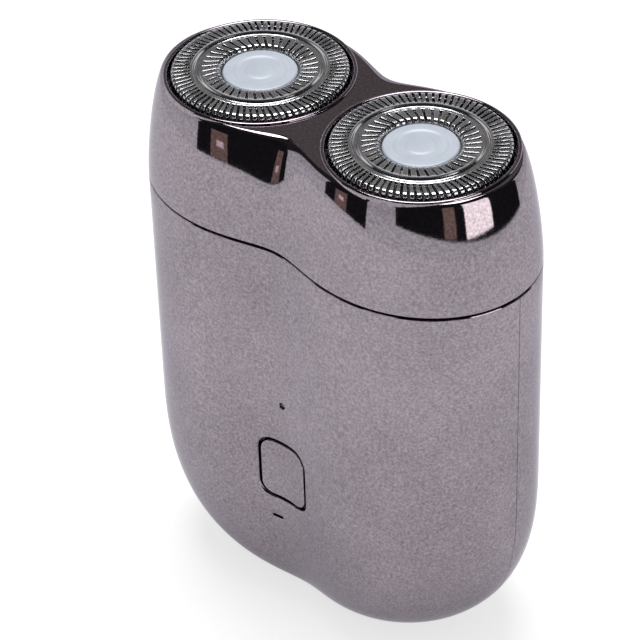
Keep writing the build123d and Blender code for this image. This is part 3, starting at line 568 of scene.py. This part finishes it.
def frontCutter(width, tall, corner, height, ease, depth, shift=0.0):
    rings = []
    steps = [(-depth, 0.0), (-ease, 0.0)]
    for turn in (30, 60, 85):  # rounds the edge where the cutter comes out of the face
        angle = math.radians(turn)
        steps.append((-ease * (1 - math.sin(angle)), ease * (1 - math.cos(angle))))
    steps.append((0.6, ease * 1.2))
    for outward, grow in steps:
        flat = roundedRect(width + 2 * grow, tall + 2 * grow, corner + grow)
        rings.append([(x + shift, frontY(x + shift, z + height) - outward, z + height) for x, z in flat])
    return capped(rings)


button = {
    "width": 8.2,
    "tall": 10.0,
    "corner": 2.0,
    "height": 25.1,
    "gap": 0.4,
    "edge": 0.24,
    "sink": 0.04,
    "flangeFront": -11.75,
    "flangeBack": -11.0,
    "flangeMargin": 0.5,
    "stemRadius": 1.2,
    "stemEnd": -10.9,
}
marks = {
    "openingEase": 0.3,
    "cutDepth": 4.0,
    "lightHeight": 37.4,
    "lightRadius": 0.5,
    "lightEase": 0.14,
    "slitHeight": 16.1,
    "slitShift": -1.6,
    "slitLong": 1.9,
    "slitTall": 0.5,
    "slitEase": 0.1,
    "slitDepth": 0.7,
}

frontCasing = casingHalf("frontCasing", math.pi)
rearCasing = casingHalf("rearCasing", 0.0)
openings = gather([
    frontCutter(button["width"] + 2 * button["gap"], button["tall"] + 2 * button["gap"],
                button["corner"] + button["gap"], button["height"], marks["openingEase"], marks["cutDepth"]),
    frontCutter(2 * marks["lightRadius"], 2 * marks["lightRadius"] + 0.001, marks["lightRadius"],
                marks["lightHeight"], marks["lightEase"], marks["cutDepth"]),
    frontCutter(marks["slitLong"], marks["slitTall"], marks["slitTall"] / 2 - 0.001,
                marks["slitHeight"], marks["slitEase"], marks["slitDepth"], marks["slitShift"]),
])
combine(frontCasing, buildObject("openingCutter", *openings), "DIFFERENCE")
smoothPiece(frontCasing)
print("casing shells made", len(frontCasing.data.polygons))


# power button and its light
def buttonRings():
    width, tall, corner, height = (button[key] for key in ("width", "tall", "corner", "height"))
    rings = []
    for inset in (3.6, 3.0, 2.2, 1.4, 0.8, 0.45):
        flat = roundedRect(width - 2 * inset, tall - 2 * inset, max(corner - inset, 0.4))
        rings.append([(x, frontY(x, z + height) + button["sink"], z + height) for x, z in flat])
    edge = button["edge"]
    for turn in (0, 22, 45, 68, 90):
        inset = edge * (1 - math.sin(math.radians(turn)))
        depth = button["sink"] + edge * (1 - math.cos(math.radians(turn)))
        flat = roundedRect(width - 2 * inset, tall - 2 * inset, corner - inset)
        rings.append([(x, frontY(x, z + height) + depth, z + height) for x, z in flat])
    margin = button["gap"] + button["flangeMargin"]
    side = roundedRect(width, tall, corner)
    flange = roundedRect(width + 2 * margin, tall + 2 * margin, corner)
    stem = roundedRect(2 * button["stemRadius"], 2 * button["stemRadius"], button["stemRadius"] - 0.001)
    for flat, y in ((side, button["flangeFront"]), (flange, button["flangeFront"]),
                    (flange, button["flangeBack"]), (stem, button["flangeBack"]), (stem, button["stemEnd"])):
        rings.append([(x, y, z + height) for x, z in flat])
    return rings


powerKey = buildObject("powerKey", *capped(buttonRings()), materials["platedCasing"])

lens = {
    "radius": 0.45,
    "recess": 0.42,
    "crown": 0.22,
    "collar": 1.0,
    "collarFront": -11.9,
    "collarBack": -10.2,
    "steps": 32,
}


def lensRings():
    front = frontY(0.0, marks["lightHeight"]) + lens["recess"]
    profile = []
    for turn in (8, 25, 45, 65, 90):
        angle = math.radians(turn)
        profile.append((lens["radius"] * math.sin(angle), front - lens["crown"] * math.cos(angle)))
    profile += [(lens["radius"], lens["collarFront"]), (lens["collar"], lens["collarFront"]),
                (lens["collar"], lens["collarBack"])]
    rings = []
    for radius, y in profile:
        turns = [tau * k / lens["steps"] for k in range(lens["steps"])]
        rings.append([(radius * math.cos(a), y, marks["lightHeight"] + radius * math.sin(a)) for a in turns])
    return rings


lightLens = buildObject("lightLens", *capped(lensRings()), materials["lightClear"])
print("button and light made")

# head cover
cover = {
    "columns": 320,
    "wallRows": 3,
    "shoulderRows": 34,
    "rimRound": 0.2,
    "creaseEnd": 0.3,
    "creaseWaist": 1.3,
    "creaseStep": 0.002,  # radians, how finely the start of the crease is looked for
    "cavityTop": form["coverTop"] - 2.7,
    "counterbore": 13.7,
    "opening": 12.85,
    "lipOuter": 13.5,
    "lipHeight": 0.3,
    "lipRound": 0.27,
}


def coverRow(turn, inset, top):
    rise = math.sin(turn) ** (2 / form["shoulderPower"])
    closing = 1 - max(math.cos(turn), 0.0) ** (2 / form["shoulderPower"])
    end = form["halfWidth"] - inset - form["endShoulder"] * closing
    waist = form["halfWaist"] - inset - form["waistShoulder"] * closing
    return form["coverBottom"] + (top - form["coverBottom"]) * rise, end, waist


def coverRing(endHeight, end, waistHeight, waist):  # height runs from one value at the ends to the other
    ring = []
    for k in range(cover["columns"]):
        turn = tau * k / cover["columns"]
        radius = lobedRadius(turn, end, waist)
        height = endHeight * math.cos(turn) ** 2 + waistHeight * math.sin(turn) ** 2
        ring.append((radius * math.cos(turn), radius * math.sin(turn), height))
    return ring


def shoulderSide(inset, top, column, size):  # (height, half width) up one side, with its rounded crease
    def at(turn):
        row = coverRow(turn, inset, top)
        return row[0], row[column]

    crease = at(math.pi / 2)
    last = math.pi / 2
    while math.dist(at(last), crease) < size:
        last -= cover["creaseStep"]
    count = cover["shoulderRows"]
    side = [at(last * step / count) for step in range(1, count + 1)]
    before, after = side[-1], (top, crease[1] - size)
    for share in (0.15, 0.3, 0.45, 0.6, 0.8, 1.0):
        side.append(tuple((1 - share) ** 2 * a + 2 * share * (1 - share) * b + share**2 * c
                          for a, b, c in zip(before, crease, after)))
    side.append((top, crease[1] - cover["creaseWaist"] - 0.3))
    return side


def coverRings(inset, top, rimRound):
    rings = []
    bottom = form["coverBottom"]
    end, waist = form["halfWidth"] - inset, form["halfWaist"] - inset
    if rimRound:
        for turn in (90, 60, 30):
            drawn = rimRound * (1 - math.cos(math.radians(turn)))
            z = bottom + rimRound * (1 - math.sin(math.radians(turn)))
            rings.append(lobedRing(z, end - drawn, waist - drawn, cover["columns"]))
        rings.append(lobedRing(bottom + rimRound, end, waist, cover["columns"]))
    else:
        rings.append(lobedRing(bottom - 1.0, end, waist, cover["columns"]))
    ends = shoulderSide(inset, top, 1, cover["creaseEnd"])
    waists = shoulderSide(inset, top, 2, cover["creaseWaist"])
    for endRow, waistRow in zip(ends, waists):
        if endRow[0] > bottom + 2 * rimRound:
            rings.append(coverRing(*endRow, *waistRow))
    return rings


headShell = buildObject("headShell", *capped(coverRings(0.0, form["coverTop"], cover["rimRound"])),
                        materials["platedCasing"])
cavity = buildObject("cavity", *capped(coverRings(form["wall"], cover["cavityTop"], 0.0)))
combine(headShell, cavity, "DIFFERENCE")


def pairOfTurned(profile, looped=False):
    return gather([turned(profile, side * form["axis"], 200, looped) for side in (-1, 1)])


lipTop = form["coverTop"] + cover["lipHeight"]
wide, narrow, soft = cover["lipOuter"], cover["opening"], cover["lipRound"]
bore = [(0, form["coverBottom"] - 2), (cover["counterbore"], form["coverBottom"] - 2),
        (cover["counterbore"], cover["cavityTop"]), (0, cover["cavityTop"])]
combine(headShell, buildObject("counterbores", *pairOfTurned(bore)), "DIFFERENCE")
lip = [(narrow - 0.4, cover["cavityTop"] + 0.8), (wide, cover["cavityTop"] + 0.8)]
lip += arc(wide - soft, lipTop - soft, soft, 0, 90, 5) + [(narrow - 0.4, lipTop)]
combine(headShell, buildObject("lips", *pairOfTurned(lip, looped=True)), "UNION")
hole = [(0, cover["cavityTop"] - 1), (narrow, cover["cavityTop"] - 1)]
hole += [(narrow + soft - soft * math.cos(math.radians(a)), lipTop - soft + soft * math.sin(math.radians(a)))
         for a in (0, 18, 36, 54, 72, 86)]
hole += [(narrow + soft * 1.1, lipTop + 1), (0, lipTop + 1)]
combine(headShell, buildObject("holes", *pairOfTurned(hole)), "DIFFERENCE")
smoothPiece(headShell)
print("head cover made", len(headShell.data.polygons))

# slotted guards
guard = {
    "radius": 12.4,
    "edgeRound": 0.6,
    "wall": 0.5,
    "slotDrop": 1.5,
    "flangeRadius": 13.3,
    "flangeTop": -3.9,
    "bottom": -4.7,
    "grooveInner": 8.455,
    "grooveOuter": 9.305,
    "grooveDepth": 0.3,
    "lipRise": 0.03,
    "trackDip": 0.05,
    "innerTrackEnd": 8.03,
    "outerTrackStart": 9.755,
    "seatRadius": 5.4,
    "seatTop": -0.55,
    "seatFloor": -1.5,
    "skin": 0.4,
}
ribs = {
    "outerCount": 80,
    "innerCount": 40,
    "outerSlot": 0.40,
    "innerSlot": 0.40,
    "outerSlant": 10.0,
    "innerSlant": 14.0,
    "thickness": 0.42,
    "ease": 0.07,
}


def guardParts(centre):
    top = form["top"]
    rise, depth, skin = guard["lipRise"], guard["grooveDepth"], guard["skin"]
    inner, outer = guard["grooveInner"], guard["grooveOuter"]
    strip = [
        (guard["innerTrackEnd"], -skin), (guard["innerTrackEnd"], -0.02),
        (inner - 0.30, rise * 0.4), (inner - 0.14, rise), (inner - 0.04, rise * 0.6), (inner + 0.05, -0.08),
        (inner + 0.12, -0.22), (inner + 0.24, -depth), (outer - 0.24, -depth), (outer - 0.12, -0.22),
        (outer - 0.05, -0.08), (outer + 0.04, rise * 0.6), (outer + 0.14, rise), (outer + 0.30, rise * 0.4),
        (guard["outerTrackStart"] - 0.05, -0.02), (guard["outerTrackStart"] - 0.05, -skin),
        (outer + 0.1, -depth - skin), (inner - 0.1, -depth - skin),
    ]
    band = [
        (guard["radius"] - guard["wall"], -guard["slotDrop"]),
        (guard["radius"] - 0.08, -guard["slotDrop"]), (guard["radius"], -guard["slotDrop"] - 0.08),
        (guard["radius"], guard["flangeTop"] + 0.15), (guard["radius"] + 0.15, guard["flangeTop"]),
        (guard["flangeRadius"] - 0.1, guard["flangeTop"]), (guard["flangeRadius"], guard["flangeTop"] - 0.1),
        (guard["flangeRadius"], guard["bottom"] + 0.1), (guard["flangeRadius"] - 0.1, guard["bottom"]),
        (guard["radius"] - guard["wall"], guard["bottom"]),
    ]
    seat = [
        (0, guard["seatFloor"]), (guard["seatRadius"], guard["seatFloor"]),
        (guard["seatRadius"], guard["seatTop"]), (guard["seatRadius"] + 0.35, guard["seatTop"]),
        (guard["seatRadius"] + 0.35, guard["seatFloor"] - skin), (0, guard["seatFloor"] - skin),
    ]
    parts = []
    for profile, looped in ((strip, True), (band, True), (seat, False)):
        placed = [(radius, top + z) for radius, z in profile]
        parts.append(turned(placed, centre, 180, looped))
    return gather(parts)


def outerPath():  # (radius, z, outward tilt in degrees) along one outer rib
    size, dip = guard["edgeRound"], guard["trackDip"]
    flatEnd = guard["radius"] - size
    path = [(guard["grooveOuter"] + 0.35, 0.0, 90), (guard["outerTrackStart"] + 0.15, -dip, 86),
            ((guard["outerTrackStart"] + flatEnd) / 2, -dip * 1.2, 90), (flatEnd, 0.0, 88)]
    for turn in (60, 35, 10):
        angle = math.radians(turn)
        path.append((flatEnd + size * math.cos(angle), size * (math.sin(angle) - 1), turn))
    path += [(guard["radius"], -1.0, 0), (guard["radius"], -guard["slotDrop"] - 0.05, 0)]
    return path


def innerPath():
    dip = guard["trackDip"]
    return [(guard["grooveInner"] - 0.35, 0.0, 90), (guard["innerTrackEnd"] - 0.2, -dip, 94),
            (7.2, -dip * 1.2, 90), (6.5, -dip, 90), (6.05, -0.02, 95), (5.78, -0.12, 125), (5.58, -0.34, 155),
            (5.50, -0.62, 178), (5.50, -0.95, 180)]


def ribMesh(name, path, count, slot, slant, middle, material):
    thick, ease = ribs["thickness"], ribs["ease"]
    section = [(-1.0, thick), (-1.0, ease), (-0.93, ease * 0.3), (-0.84, 0.0), (-0.7, 0.0)]
    section += [(-side, drop) for side, drop in section[::-1]]
    rings = []
    for radius, z, tilt in path:
        half = (tau * radius / count - slot) / 2
        skew = math.tan(math.radians(slant)) * (radius - middle) / radius
        outR, outZ = math.cos(math.radians(tilt)), math.sin(math.radians(tilt))
        ring = []
        for side, drop in section:
            reach = radius - outR * drop
            turn = skew + side * half / radius
            ring.append((reach * math.cos(turn), reach * math.sin(turn), form["top"] + z - outZ * drop))
        rings.append(ring)
    return buildObject(name, *capped(rings), material, 45)


def copiesTree(name, sockets):  # empty geometry tree with these inputs
    tree = bpy.data.node_groups.new(name, "GeometryNodeTree")
    for label, kind in sockets.items():
        tree.interface.new_socket(name=label, in_out="INPUT", socket_type="NodeSocket" + kind)
    tree.interface.new_socket(name="Geometry", in_out="OUTPUT", socket_type="NodeSocketGeometry")
    return tree, tree.nodes.new("NodeGroupInput"), tree.nodes.new("NodeGroupOutput")


def paintedCopies(tree, given, source, points, **rotation):  # the source at every point, as one painted mesh
    model = addNode(tree, "GeometryNodeObjectInfo", {"Object": given.outputs[source]})
    spread = addNode(tree, "GeometryNodeInstanceOnPoints", {
        "Points": points.outputs[0], "Instance": model.outputs["Geometry"], **rotation,
    })
    solid = addNode(tree, "GeometryNodeRealizeInstances", {"Geometry": spread.outputs[0]})
    painted = addNode(tree, "GeometryNodeSetMaterial", {
        "Geometry": solid.outputs[0], "Material": given.outputs["Material"],
    })
    return painted.outputs[0]


def ribTree():
    tree, given, result = copiesTree("ribRing", {
        "Geometry": "Geometry", "Rib": "Object", "Count": "Int", "Turn": "Float", "Centre": "Vector",
        "Material": "Material",
    })
    points = addNode(tree, "GeometryNodePoints", {"Count": given.outputs["Count"],
                                                  "Position": given.outputs["Centre"]})
    index = addNode(tree, "GeometryNodeInputIndex")
    pitch = mathNode(tree, "DIVIDE", tau, given.outputs["Count"])
    angle = mathNode(tree, "MULTIPLY", index.outputs[0], pitch)
    turnedBy = mathNode(tree, "ADD", angle, given.outputs["Turn"])
    spin = addNode(tree, "ShaderNodeCombineXYZ", {"Z": turnedBy})
    copies = paintedCopies(tree, given, "Rib", points, Rotation=spin.outputs["Vector"])
    joined = addNode(tree, "GeometryNodeJoinGeometry")
    tree.links.new(copies, joined.inputs[0])
    tree.links.new(given.outputs["Geometry"], joined.inputs[0])
    tree.links.new(joined.outputs[0], result.inputs[0])
    return tree


def addRing(piece, tree, **values):
    ring = piece.modifiers.new(tree.name, "NODES")
    ring.node_group = tree
    sockets = {item.name: item.identifier for item in tree.interface.items_tree if item.in_out == "INPUT"}
    for label, value in values.items():
        ring[sockets[label]] = value


ringOfRibs = ribTree()
middleOuter = (guard["outerTrackStart"] + guard["radius"]) / 2
middleInner = (guard["seatRadius"] + guard["innerTrackEnd"]) / 2
guardPieces = {}
for side, sign in (("left", -1), ("right", 1)):
    foil = materials["foil" + side.capitalize()]
    centre = sign * form["axis"]
    outerRib = ribMesh("outerRib", outerPath(), ribs["outerCount"], ribs["outerSlot"], ribs["outerSlant"],
                       middleOuter, foil)
    innerRib = ribMesh("innerRib", innerPath(), ribs["innerCount"], ribs["innerSlot"], ribs["innerSlant"],
                       middleInner, foil)
    piece = buildObject(side + "Guard", *guardParts(centre), foil)
    place = Vector((centre * mm, 0, 0))
    addRing(piece, ringOfRibs, Rib=outerRib, Count=ribs["outerCount"], Turn=math.pi / ribs["outerCount"],
            Centre=place, Material=foil)
    addRing(piece, ringOfRibs, Rib=innerRib, Count=ribs["innerCount"], Turn=math.pi / ribs["innerCount"],
            Centre=place, Material=foil)
    applyAll(piece)
    for helper in (outerRib, innerRib):
        bpy.data.objects.remove(helper)
    guardPieces[side] = piece
print("guards made", len(guardPieces["left"].data.polygons))

# caps in the middle of the guards
capDisc = {
    "radius": 5.25,
    "recess": 0.42,
    "thickness": 1.05,
    "edge": 0.35,
    "bossRadius": 1.7,
    "bossDrop": 0.02,
    "channelInner": 2.3,
    "channelOuter": 3.25,
    "rimInner": 3.85,
    "channelDepth": 0.13,
    "easeSteps": 6,
}


def capProfile():
    high = form["top"] - capDisc["recess"]
    low = high - capDisc["channelDepth"]
    radius, edge = capDisc["radius"], capDisc["edge"]
    profile = [(0, high - capDisc["bossDrop"]), (capDisc["bossRadius"], high - capDisc["bossDrop"])]
    for first, last, startZ, endZ in (
        (capDisc["bossRadius"], capDisc["channelInner"], high - capDisc["bossDrop"], low),
        (capDisc["channelOuter"], capDisc["rimInner"], low, high),
    ):
        for step in range(1, capDisc["easeSteps"] + 1):
            share = step / capDisc["easeSteps"]
            ease = (1 - math.cos(math.pi * share)) / 2
            profile.append((first + (last - first) * share, startZ + (endZ - startZ) * ease))
        if endZ == low:
            profile.append((capDisc["channelOuter"], low))
    profile += [(radius - edge, high)] + arc(radius - edge, high - edge, edge, 72, 0, 5)
    profile += [(radius, high - capDisc["thickness"]), (0, high - capDisc["thickness"])]
    return profile


capPieces = {}
for side, sign in (("left", -1), ("right", 1)):
    capPieces[side] = buildObject(side + "Cap", *turned(capProfile(), sign * form["axis"], 128),
                                  materials["cap" + side.capitalize()], 60)
print("caps made")

# contacts on the tongue of the charging socket
contact = {
    "count": 12, "pitch": 0.5, "wide": 0.26, "thick": 0.05, "long": 2.6, "low": 1.9, "face": 0.36,
    "ease": 0.02,
}


def contactRowTree():
    tree, given, result = copiesTree("contactRow", {
        "Contact": "Object", "Count": "Int", "Start": "Vector", "Offset": "Vector", "Material": "Material",
    })
    line = addNode(tree, "GeometryNodeMeshLine", {
        "Count": given.outputs["Count"],
        "Start Location": given.outputs["Start"],
        "Offset": given.outputs["Offset"],
    })
    tree.links.new(paintedCopies(tree, given, "Contact", line), result.inputs[0])
    return tree


def contactMesh():
    half, thick, length, ease = contact["wide"] / 2, contact["thick"], contact["long"], contact["ease"]
    rings = []
    for z, inset in ((0, ease), (ease, 0), (length - ease, 0), (length, ease)):
        rings.append([(-half + inset, thick - inset, z), (half - inset, thick - inset, z),
                      (half - inset, -2 * contact["face"] - thick + inset, z),
                      (-half + inset, -2 * contact["face"] - thick + inset, z)])
    return buildObject("contact", *capped(rings), materials["contactGold"])


contactSource = contactMesh()
portContacts = bpy.data.objects.new("portContacts", bpy.data.meshes.new("portContacts"))
bpy.context.collection.objects.link(portContacts)
rowHalf = (contact["count"] - 1) / 2 * contact["pitch"]
rowStart = Vector((-rowHalf * mm, contact["face"] * mm, contact["low"] * mm))
addRing(portContacts, contactRowTree(), Contact=contactSource, Count=contact["count"], Start=rowStart,
        Offset=Vector((contact["pitch"] * mm, 0, 0)), Material=materials["contactGold"])
applyAll(portContacts)
bpy.data.objects.remove(contactSource)
smoothPiece(portContacts)
print("port contacts made")

# every piece on its body
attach(frontCasing, "body")
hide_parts("front_shell")
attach(rearCasing, "body")
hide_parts("rear_shell")
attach(powerKey, "power_button")
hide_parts("power_button")
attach(lightLens, "body")
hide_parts("light_pipe")
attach(headShell, "head")
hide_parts("head_cover")
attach(portContacts, "body")
for side in ("left", "right"):
    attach(guardPieces[side], "guard_" + side)
    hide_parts("guard_" + side)
    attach(capPieces[side], "guard_" + side)
    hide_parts("guard_cap_" + side)

replacedLooks = {"foil_steel": "foilLeft", "cap_satin": "capLeft"}


def lookOf(slot):  # looks are named after their slots, apart from the two above
    first, *others = slot.split("_")
    return materials[replacedLooks.get(slot, first + "".join(word.capitalize() for word in others))]


for part in frame["record"]["subparts"]:
    cadNode = frame["nodes"][part["node"]]
    look = lookOf(part["material_slot"])
    if not cadNode.material_slots:
        cadNode.data.materials.append(look)
    for place in cadNode.material_slots:
        place.material = look
print("inner parts painted")

# floor, lights and camera
studio = {
    "floorHalf": 1.6,
    "nearFloorRadius": 0.24,  # the part of the floor that the plating mirrors
    "floorStep": 0.0002,
    "floorShade": 0.42,
    "floorGlow": 0.43,
    "floorGlowSeen": 0.66,
    "backdrop": 0.95,
    "skyFill": 0.55,
    "skyStart": -100.0,  # degrees right of the camera are counted from here round to 260
    "tent": (0.72, 0.72, 0.75),  # what is mirrored where nothing else is
    "softboxPower": 11.0,
    "softboxSize": 0.62,
    "softboxTilt": 14.0,  # degrees behind the zenith, away from the camera
    "softboxDistance": 1.1,
    "softboxGoal": 0.06,
    "cardRows": 6,
    "cardColumns": 12,
}
# what the plating mirrors, seen from the shaver: degrees right of the camera, degrees above level
surroundings = {
    "farPaper": {"across": (-400, 400), "rise": (-100, -9), "colour": (0.84, 0.84, 0.86), "soft": 5.0},
    "ceiling": {"across": (-400, 400), "rise": (22, 100), "colour": (0.03, 0.03, 0.032), "soft": 3.0},
    "backPanel": {"across": (140, 220), "rise": (26, 50), "colour": (0.17, 0.155, 0.15), "soft": 4.0},
    "darkRight": {"across": (-33, 105), "rise": (-12.6, 100), "colour": (0.016, 0.016, 0.018), "soft": 0.5,
                  "slope": -0.06},
    "brownStrip": {"across": (9.5, 21), "rise": (-12.7, 20), "colour": (0.34, 0.24, 0.20), "soft": 1.0},
    "window": {"across": (31, 62), "rise": (-13.5, 30), "colour": (2.45, 2.3, 2.25), "soft": 0.7},
}
# curved cards held close to the left head, seen only in the plating
cards = {
    "darkCard": {"across": (-84, -35), "rise": (-19.5, 60), "radius": 65, "colour": (0.016, 0.016, 0.018)},
    "brownCard": {"across": (-71, -57), "rise": (-19.2, 4), "radius": 63, "colour": (0.30, 0.21, 0.18)},
    "pinkCard": {"across": (-66, -60), "rise": (-14.0, -10.5), "radius": 61, "colour": (1.2, 0.95, 0.92)},
}
cardCentre = Vector((-8.0, -13.5, 78.0))
view = {
    "azimuth": 42.78,
    "elevation": 37.25,
    "roll": -1.85,
    "distance": 415.7,
    "target": (5.30, -10.89, 53.72),
    "lens": 169.8,
    "sensor": 36.0,
}
azimuth, elevation, roll = (math.radians(view[key]) for key in ("azimuth", "elevation", "roll"))
back = Vector((math.sin(azimuth) * math.cos(elevation), -math.cos(azimuth) * math.cos(elevation),
               math.sin(elevation)))
right = Vector((math.cos(azimuth), math.sin(azimuth), 0))
up = back.cross(right)
cameraX = math.cos(roll) * right + math.sin(roll) * up
cameraY = -math.sin(roll) * right + math.cos(roll) * up
towards = Vector((back.x, back.y, 0)).normalized()  # level direction from the shaver to the camera


def aimedAt(place, goal):
    return (goal - place).to_track_quat("-Z", "Y").to_matrix().to_4x4()


def addSoftbox():
    light = bpy.data.lights.new("overheadSoftbox", "AREA")
    light.size = studio["softboxSize"]
    light.energy = studio["softboxPower"]
    softbox = bpy.data.objects.new("overheadSoftbox", light)
    bpy.context.collection.objects.link(softbox)
    tilt = math.radians(studio["softboxTilt"])
    goal = Vector((0, 0, studio["softboxGoal"]))
    place = goal + (Vector((0, 0, math.cos(tilt))) - towards * math.sin(tilt)) * studio["softboxDistance"]
    softbox.matrix_world = Matrix.Translation(place) @ aimedAt(place, goal)


def addFloors():
    paper = bpy.data.materials.new("floorPaper")
    paper.use_nodes = True
    shader = paper.node_tree.nodes["Principled BSDF"]
    shade, glow = studio["floorShade"], studio["floorGlow"]
    values = {"Base Color": (shade, shade, shade, 1), "Roughness": 0.9, "Specular IOR Level": 0.0,
              "Emission Color": (1, 1, 1, 1), "Emission Strength": glow}
    for key, value in values.items():
        shader.inputs[key].default_value = value
    rays = addNode(paper.node_tree, "ShaderNodeLightPath")
    strength = addNode(paper.node_tree, "ShaderNodeMapRange", {
        "Value": rays.outputs["Is Camera Ray"], "To Min": glow, "To Max": studio["floorGlowSeen"],
    })
    paper.node_tree.links.new(strength.outputs["Result"], shader.inputs["Emission Strength"])
    for name, reach, drop, steps in (("nearFloor", studio["nearFloorRadius"], 0.0, 96),
                                     ("farFloor", studio["floorHalf"], studio["floorStep"], 4)):
        rim = [(math.cos(tau * k / steps) * reach / mm, math.sin(tau * k / steps) * reach / mm, -drop / mm)
               for k in range(steps)]
        floor = buildObject(name, rim, [tuple(range(steps))], paper)
        floor.visible_glossy = drop == 0.0


def anglesAcross(limits, steps):
    return [math.radians(limits[0] + (limits[1] - limits[0]) * k / steps) for k in range(steps + 1)]


def addCards():
    for name, card in cards.items():
        rings = []
        for rise in anglesAcross(card["rise"], studio["cardRows"]):
            ring = []
            for across in anglesAcross(card["across"], studio["cardColumns"]):
                level = towards * math.cos(across) + right * math.sin(across)
                reach = level * math.cos(rise) + Vector((0, 0, math.sin(rise)))
                ring.append(tuple(cardCentre + reach * card["radius"]))
            rings.append(ring)
        paint = bpy.data.materials.new(name)
        paint.use_nodes = True
        paint.node_tree.nodes.clear()
        glow = addNode(paint.node_tree, "ShaderNodeEmission", {"Color": (*card["colour"], 1)})
        result = addNode(paint.node_tree, "ShaderNodeOutputMaterial")
        paint.node_tree.links.new(glow.outputs[0], result.inputs["Surface"])
        made = buildObject(name, *bridge(rings, closed=False), paint)
        made.visible_camera = made.visible_diffuse = made.visible_shadow = False


def within(tree, value, low, high, soft):
    edges = []
    for first, last in ((low - soft, low + soft), (high + soft, high - soft)):
        edge = addNode(tree, "ShaderNodeMapRange", {"Value": value, "From Min": first, "From Max": last},
                       interpolation_type="SMOOTHSTEP")
        edges.append(edge.outputs["Result"])
    return mathNode(tree, "MULTIPLY", *edges)


def addSky():
    world = bpy.data.worlds.new("studioSky")
    bpy.context.scene.world = world
    world.use_nodes = True
    tree = world.node_tree
    place = addNode(tree, "ShaderNodeTexCoord")
    parted = addNode(tree, "ShaderNodeSeparateXYZ", {"Vector": place.outputs["Generated"]})
    turnTo = mathNode(tree, "ARCTAN2", parted.outputs["Y"], parted.outputs["X"])
    offCamera = mathNode(tree, "SUBTRACT", turnTo, math.atan2(towards.y, towards.x))
    start = studio["skyStart"]
    shifted = mathNode(tree, "ADD", mathNode(tree, "MULTIPLY", offCamera, math.degrees(1)), 720.0 - start)
    across = mathNode(tree, "ADD", mathNode(tree, "MODULO", shifted, 360.0), start)
    rise = mathNode(tree, "MULTIPLY", mathNode(tree, "ARCSINE", parted.outputs["Z"]), math.degrees(1))
    mirrored = None
    for card in surroundings.values():
        edge = mathNode(tree, "MULTIPLY_ADD", across, -card.get("slope", 0.0))
        tree.links.new(rise, edge.node.inputs[2])
        mask = mathNode(tree, "MULTIPLY", within(tree, across, *card["across"], card["soft"]),
                        within(tree, edge, *card["rise"], card["soft"]))
        layer = addNode(tree, "ShaderNodeMix", {
            "Factor": mask, 6: mirrored or (*studio["tent"], 1), 7: (*card["colour"], 1),
        }, data_type="RGBA")
        mirrored = layer.outputs[2]
    rays = addNode(tree, "ShaderNodeLightPath")
    fill, backdrop = studio["skyFill"], studio["backdrop"]
    lit = addNode(tree, "ShaderNodeMix", {
        "Factor": rays.outputs["Is Diffuse Ray"], 6: mirrored, 7: (fill, fill, fill * 1.03, 1),
    }, data_type="RGBA")
    seen = addNode(tree, "ShaderNodeMix", {
        "Factor": rays.outputs["Is Camera Ray"], 6: lit.outputs[2], 7: (backdrop, backdrop, backdrop, 1),
    }, data_type="RGBA")
    tree.links.new(seen.outputs[2], tree.nodes["Background"].inputs["Color"])


addFloors()
addCards()
addSoftbox()
addSky()
camera = bpy.data.objects.new("camera", bpy.data.cameras.new("camera"))
camera.data.lens = view["lens"]
camera.data.sensor_width = view["sensor"]
camera.data.clip_start = 0.01
bpy.context.collection.objects.link(camera)
spot = (Vector(view["target"]) + back * view["distance"]) * mm
camera.matrix_world = Matrix((
    (cameraX.x, cameraY.x, back.x, spot.x),
    (cameraX.y, cameraY.y, back.y, spot.y),
    (cameraX.z, cameraY.z, back.z, spot.z),
    (0, 0, 0, 1),
))
bpy.context.scene.camera = camera
bpy.context.scene.view_settings.view_transform = "Standard"
print("studio ready")
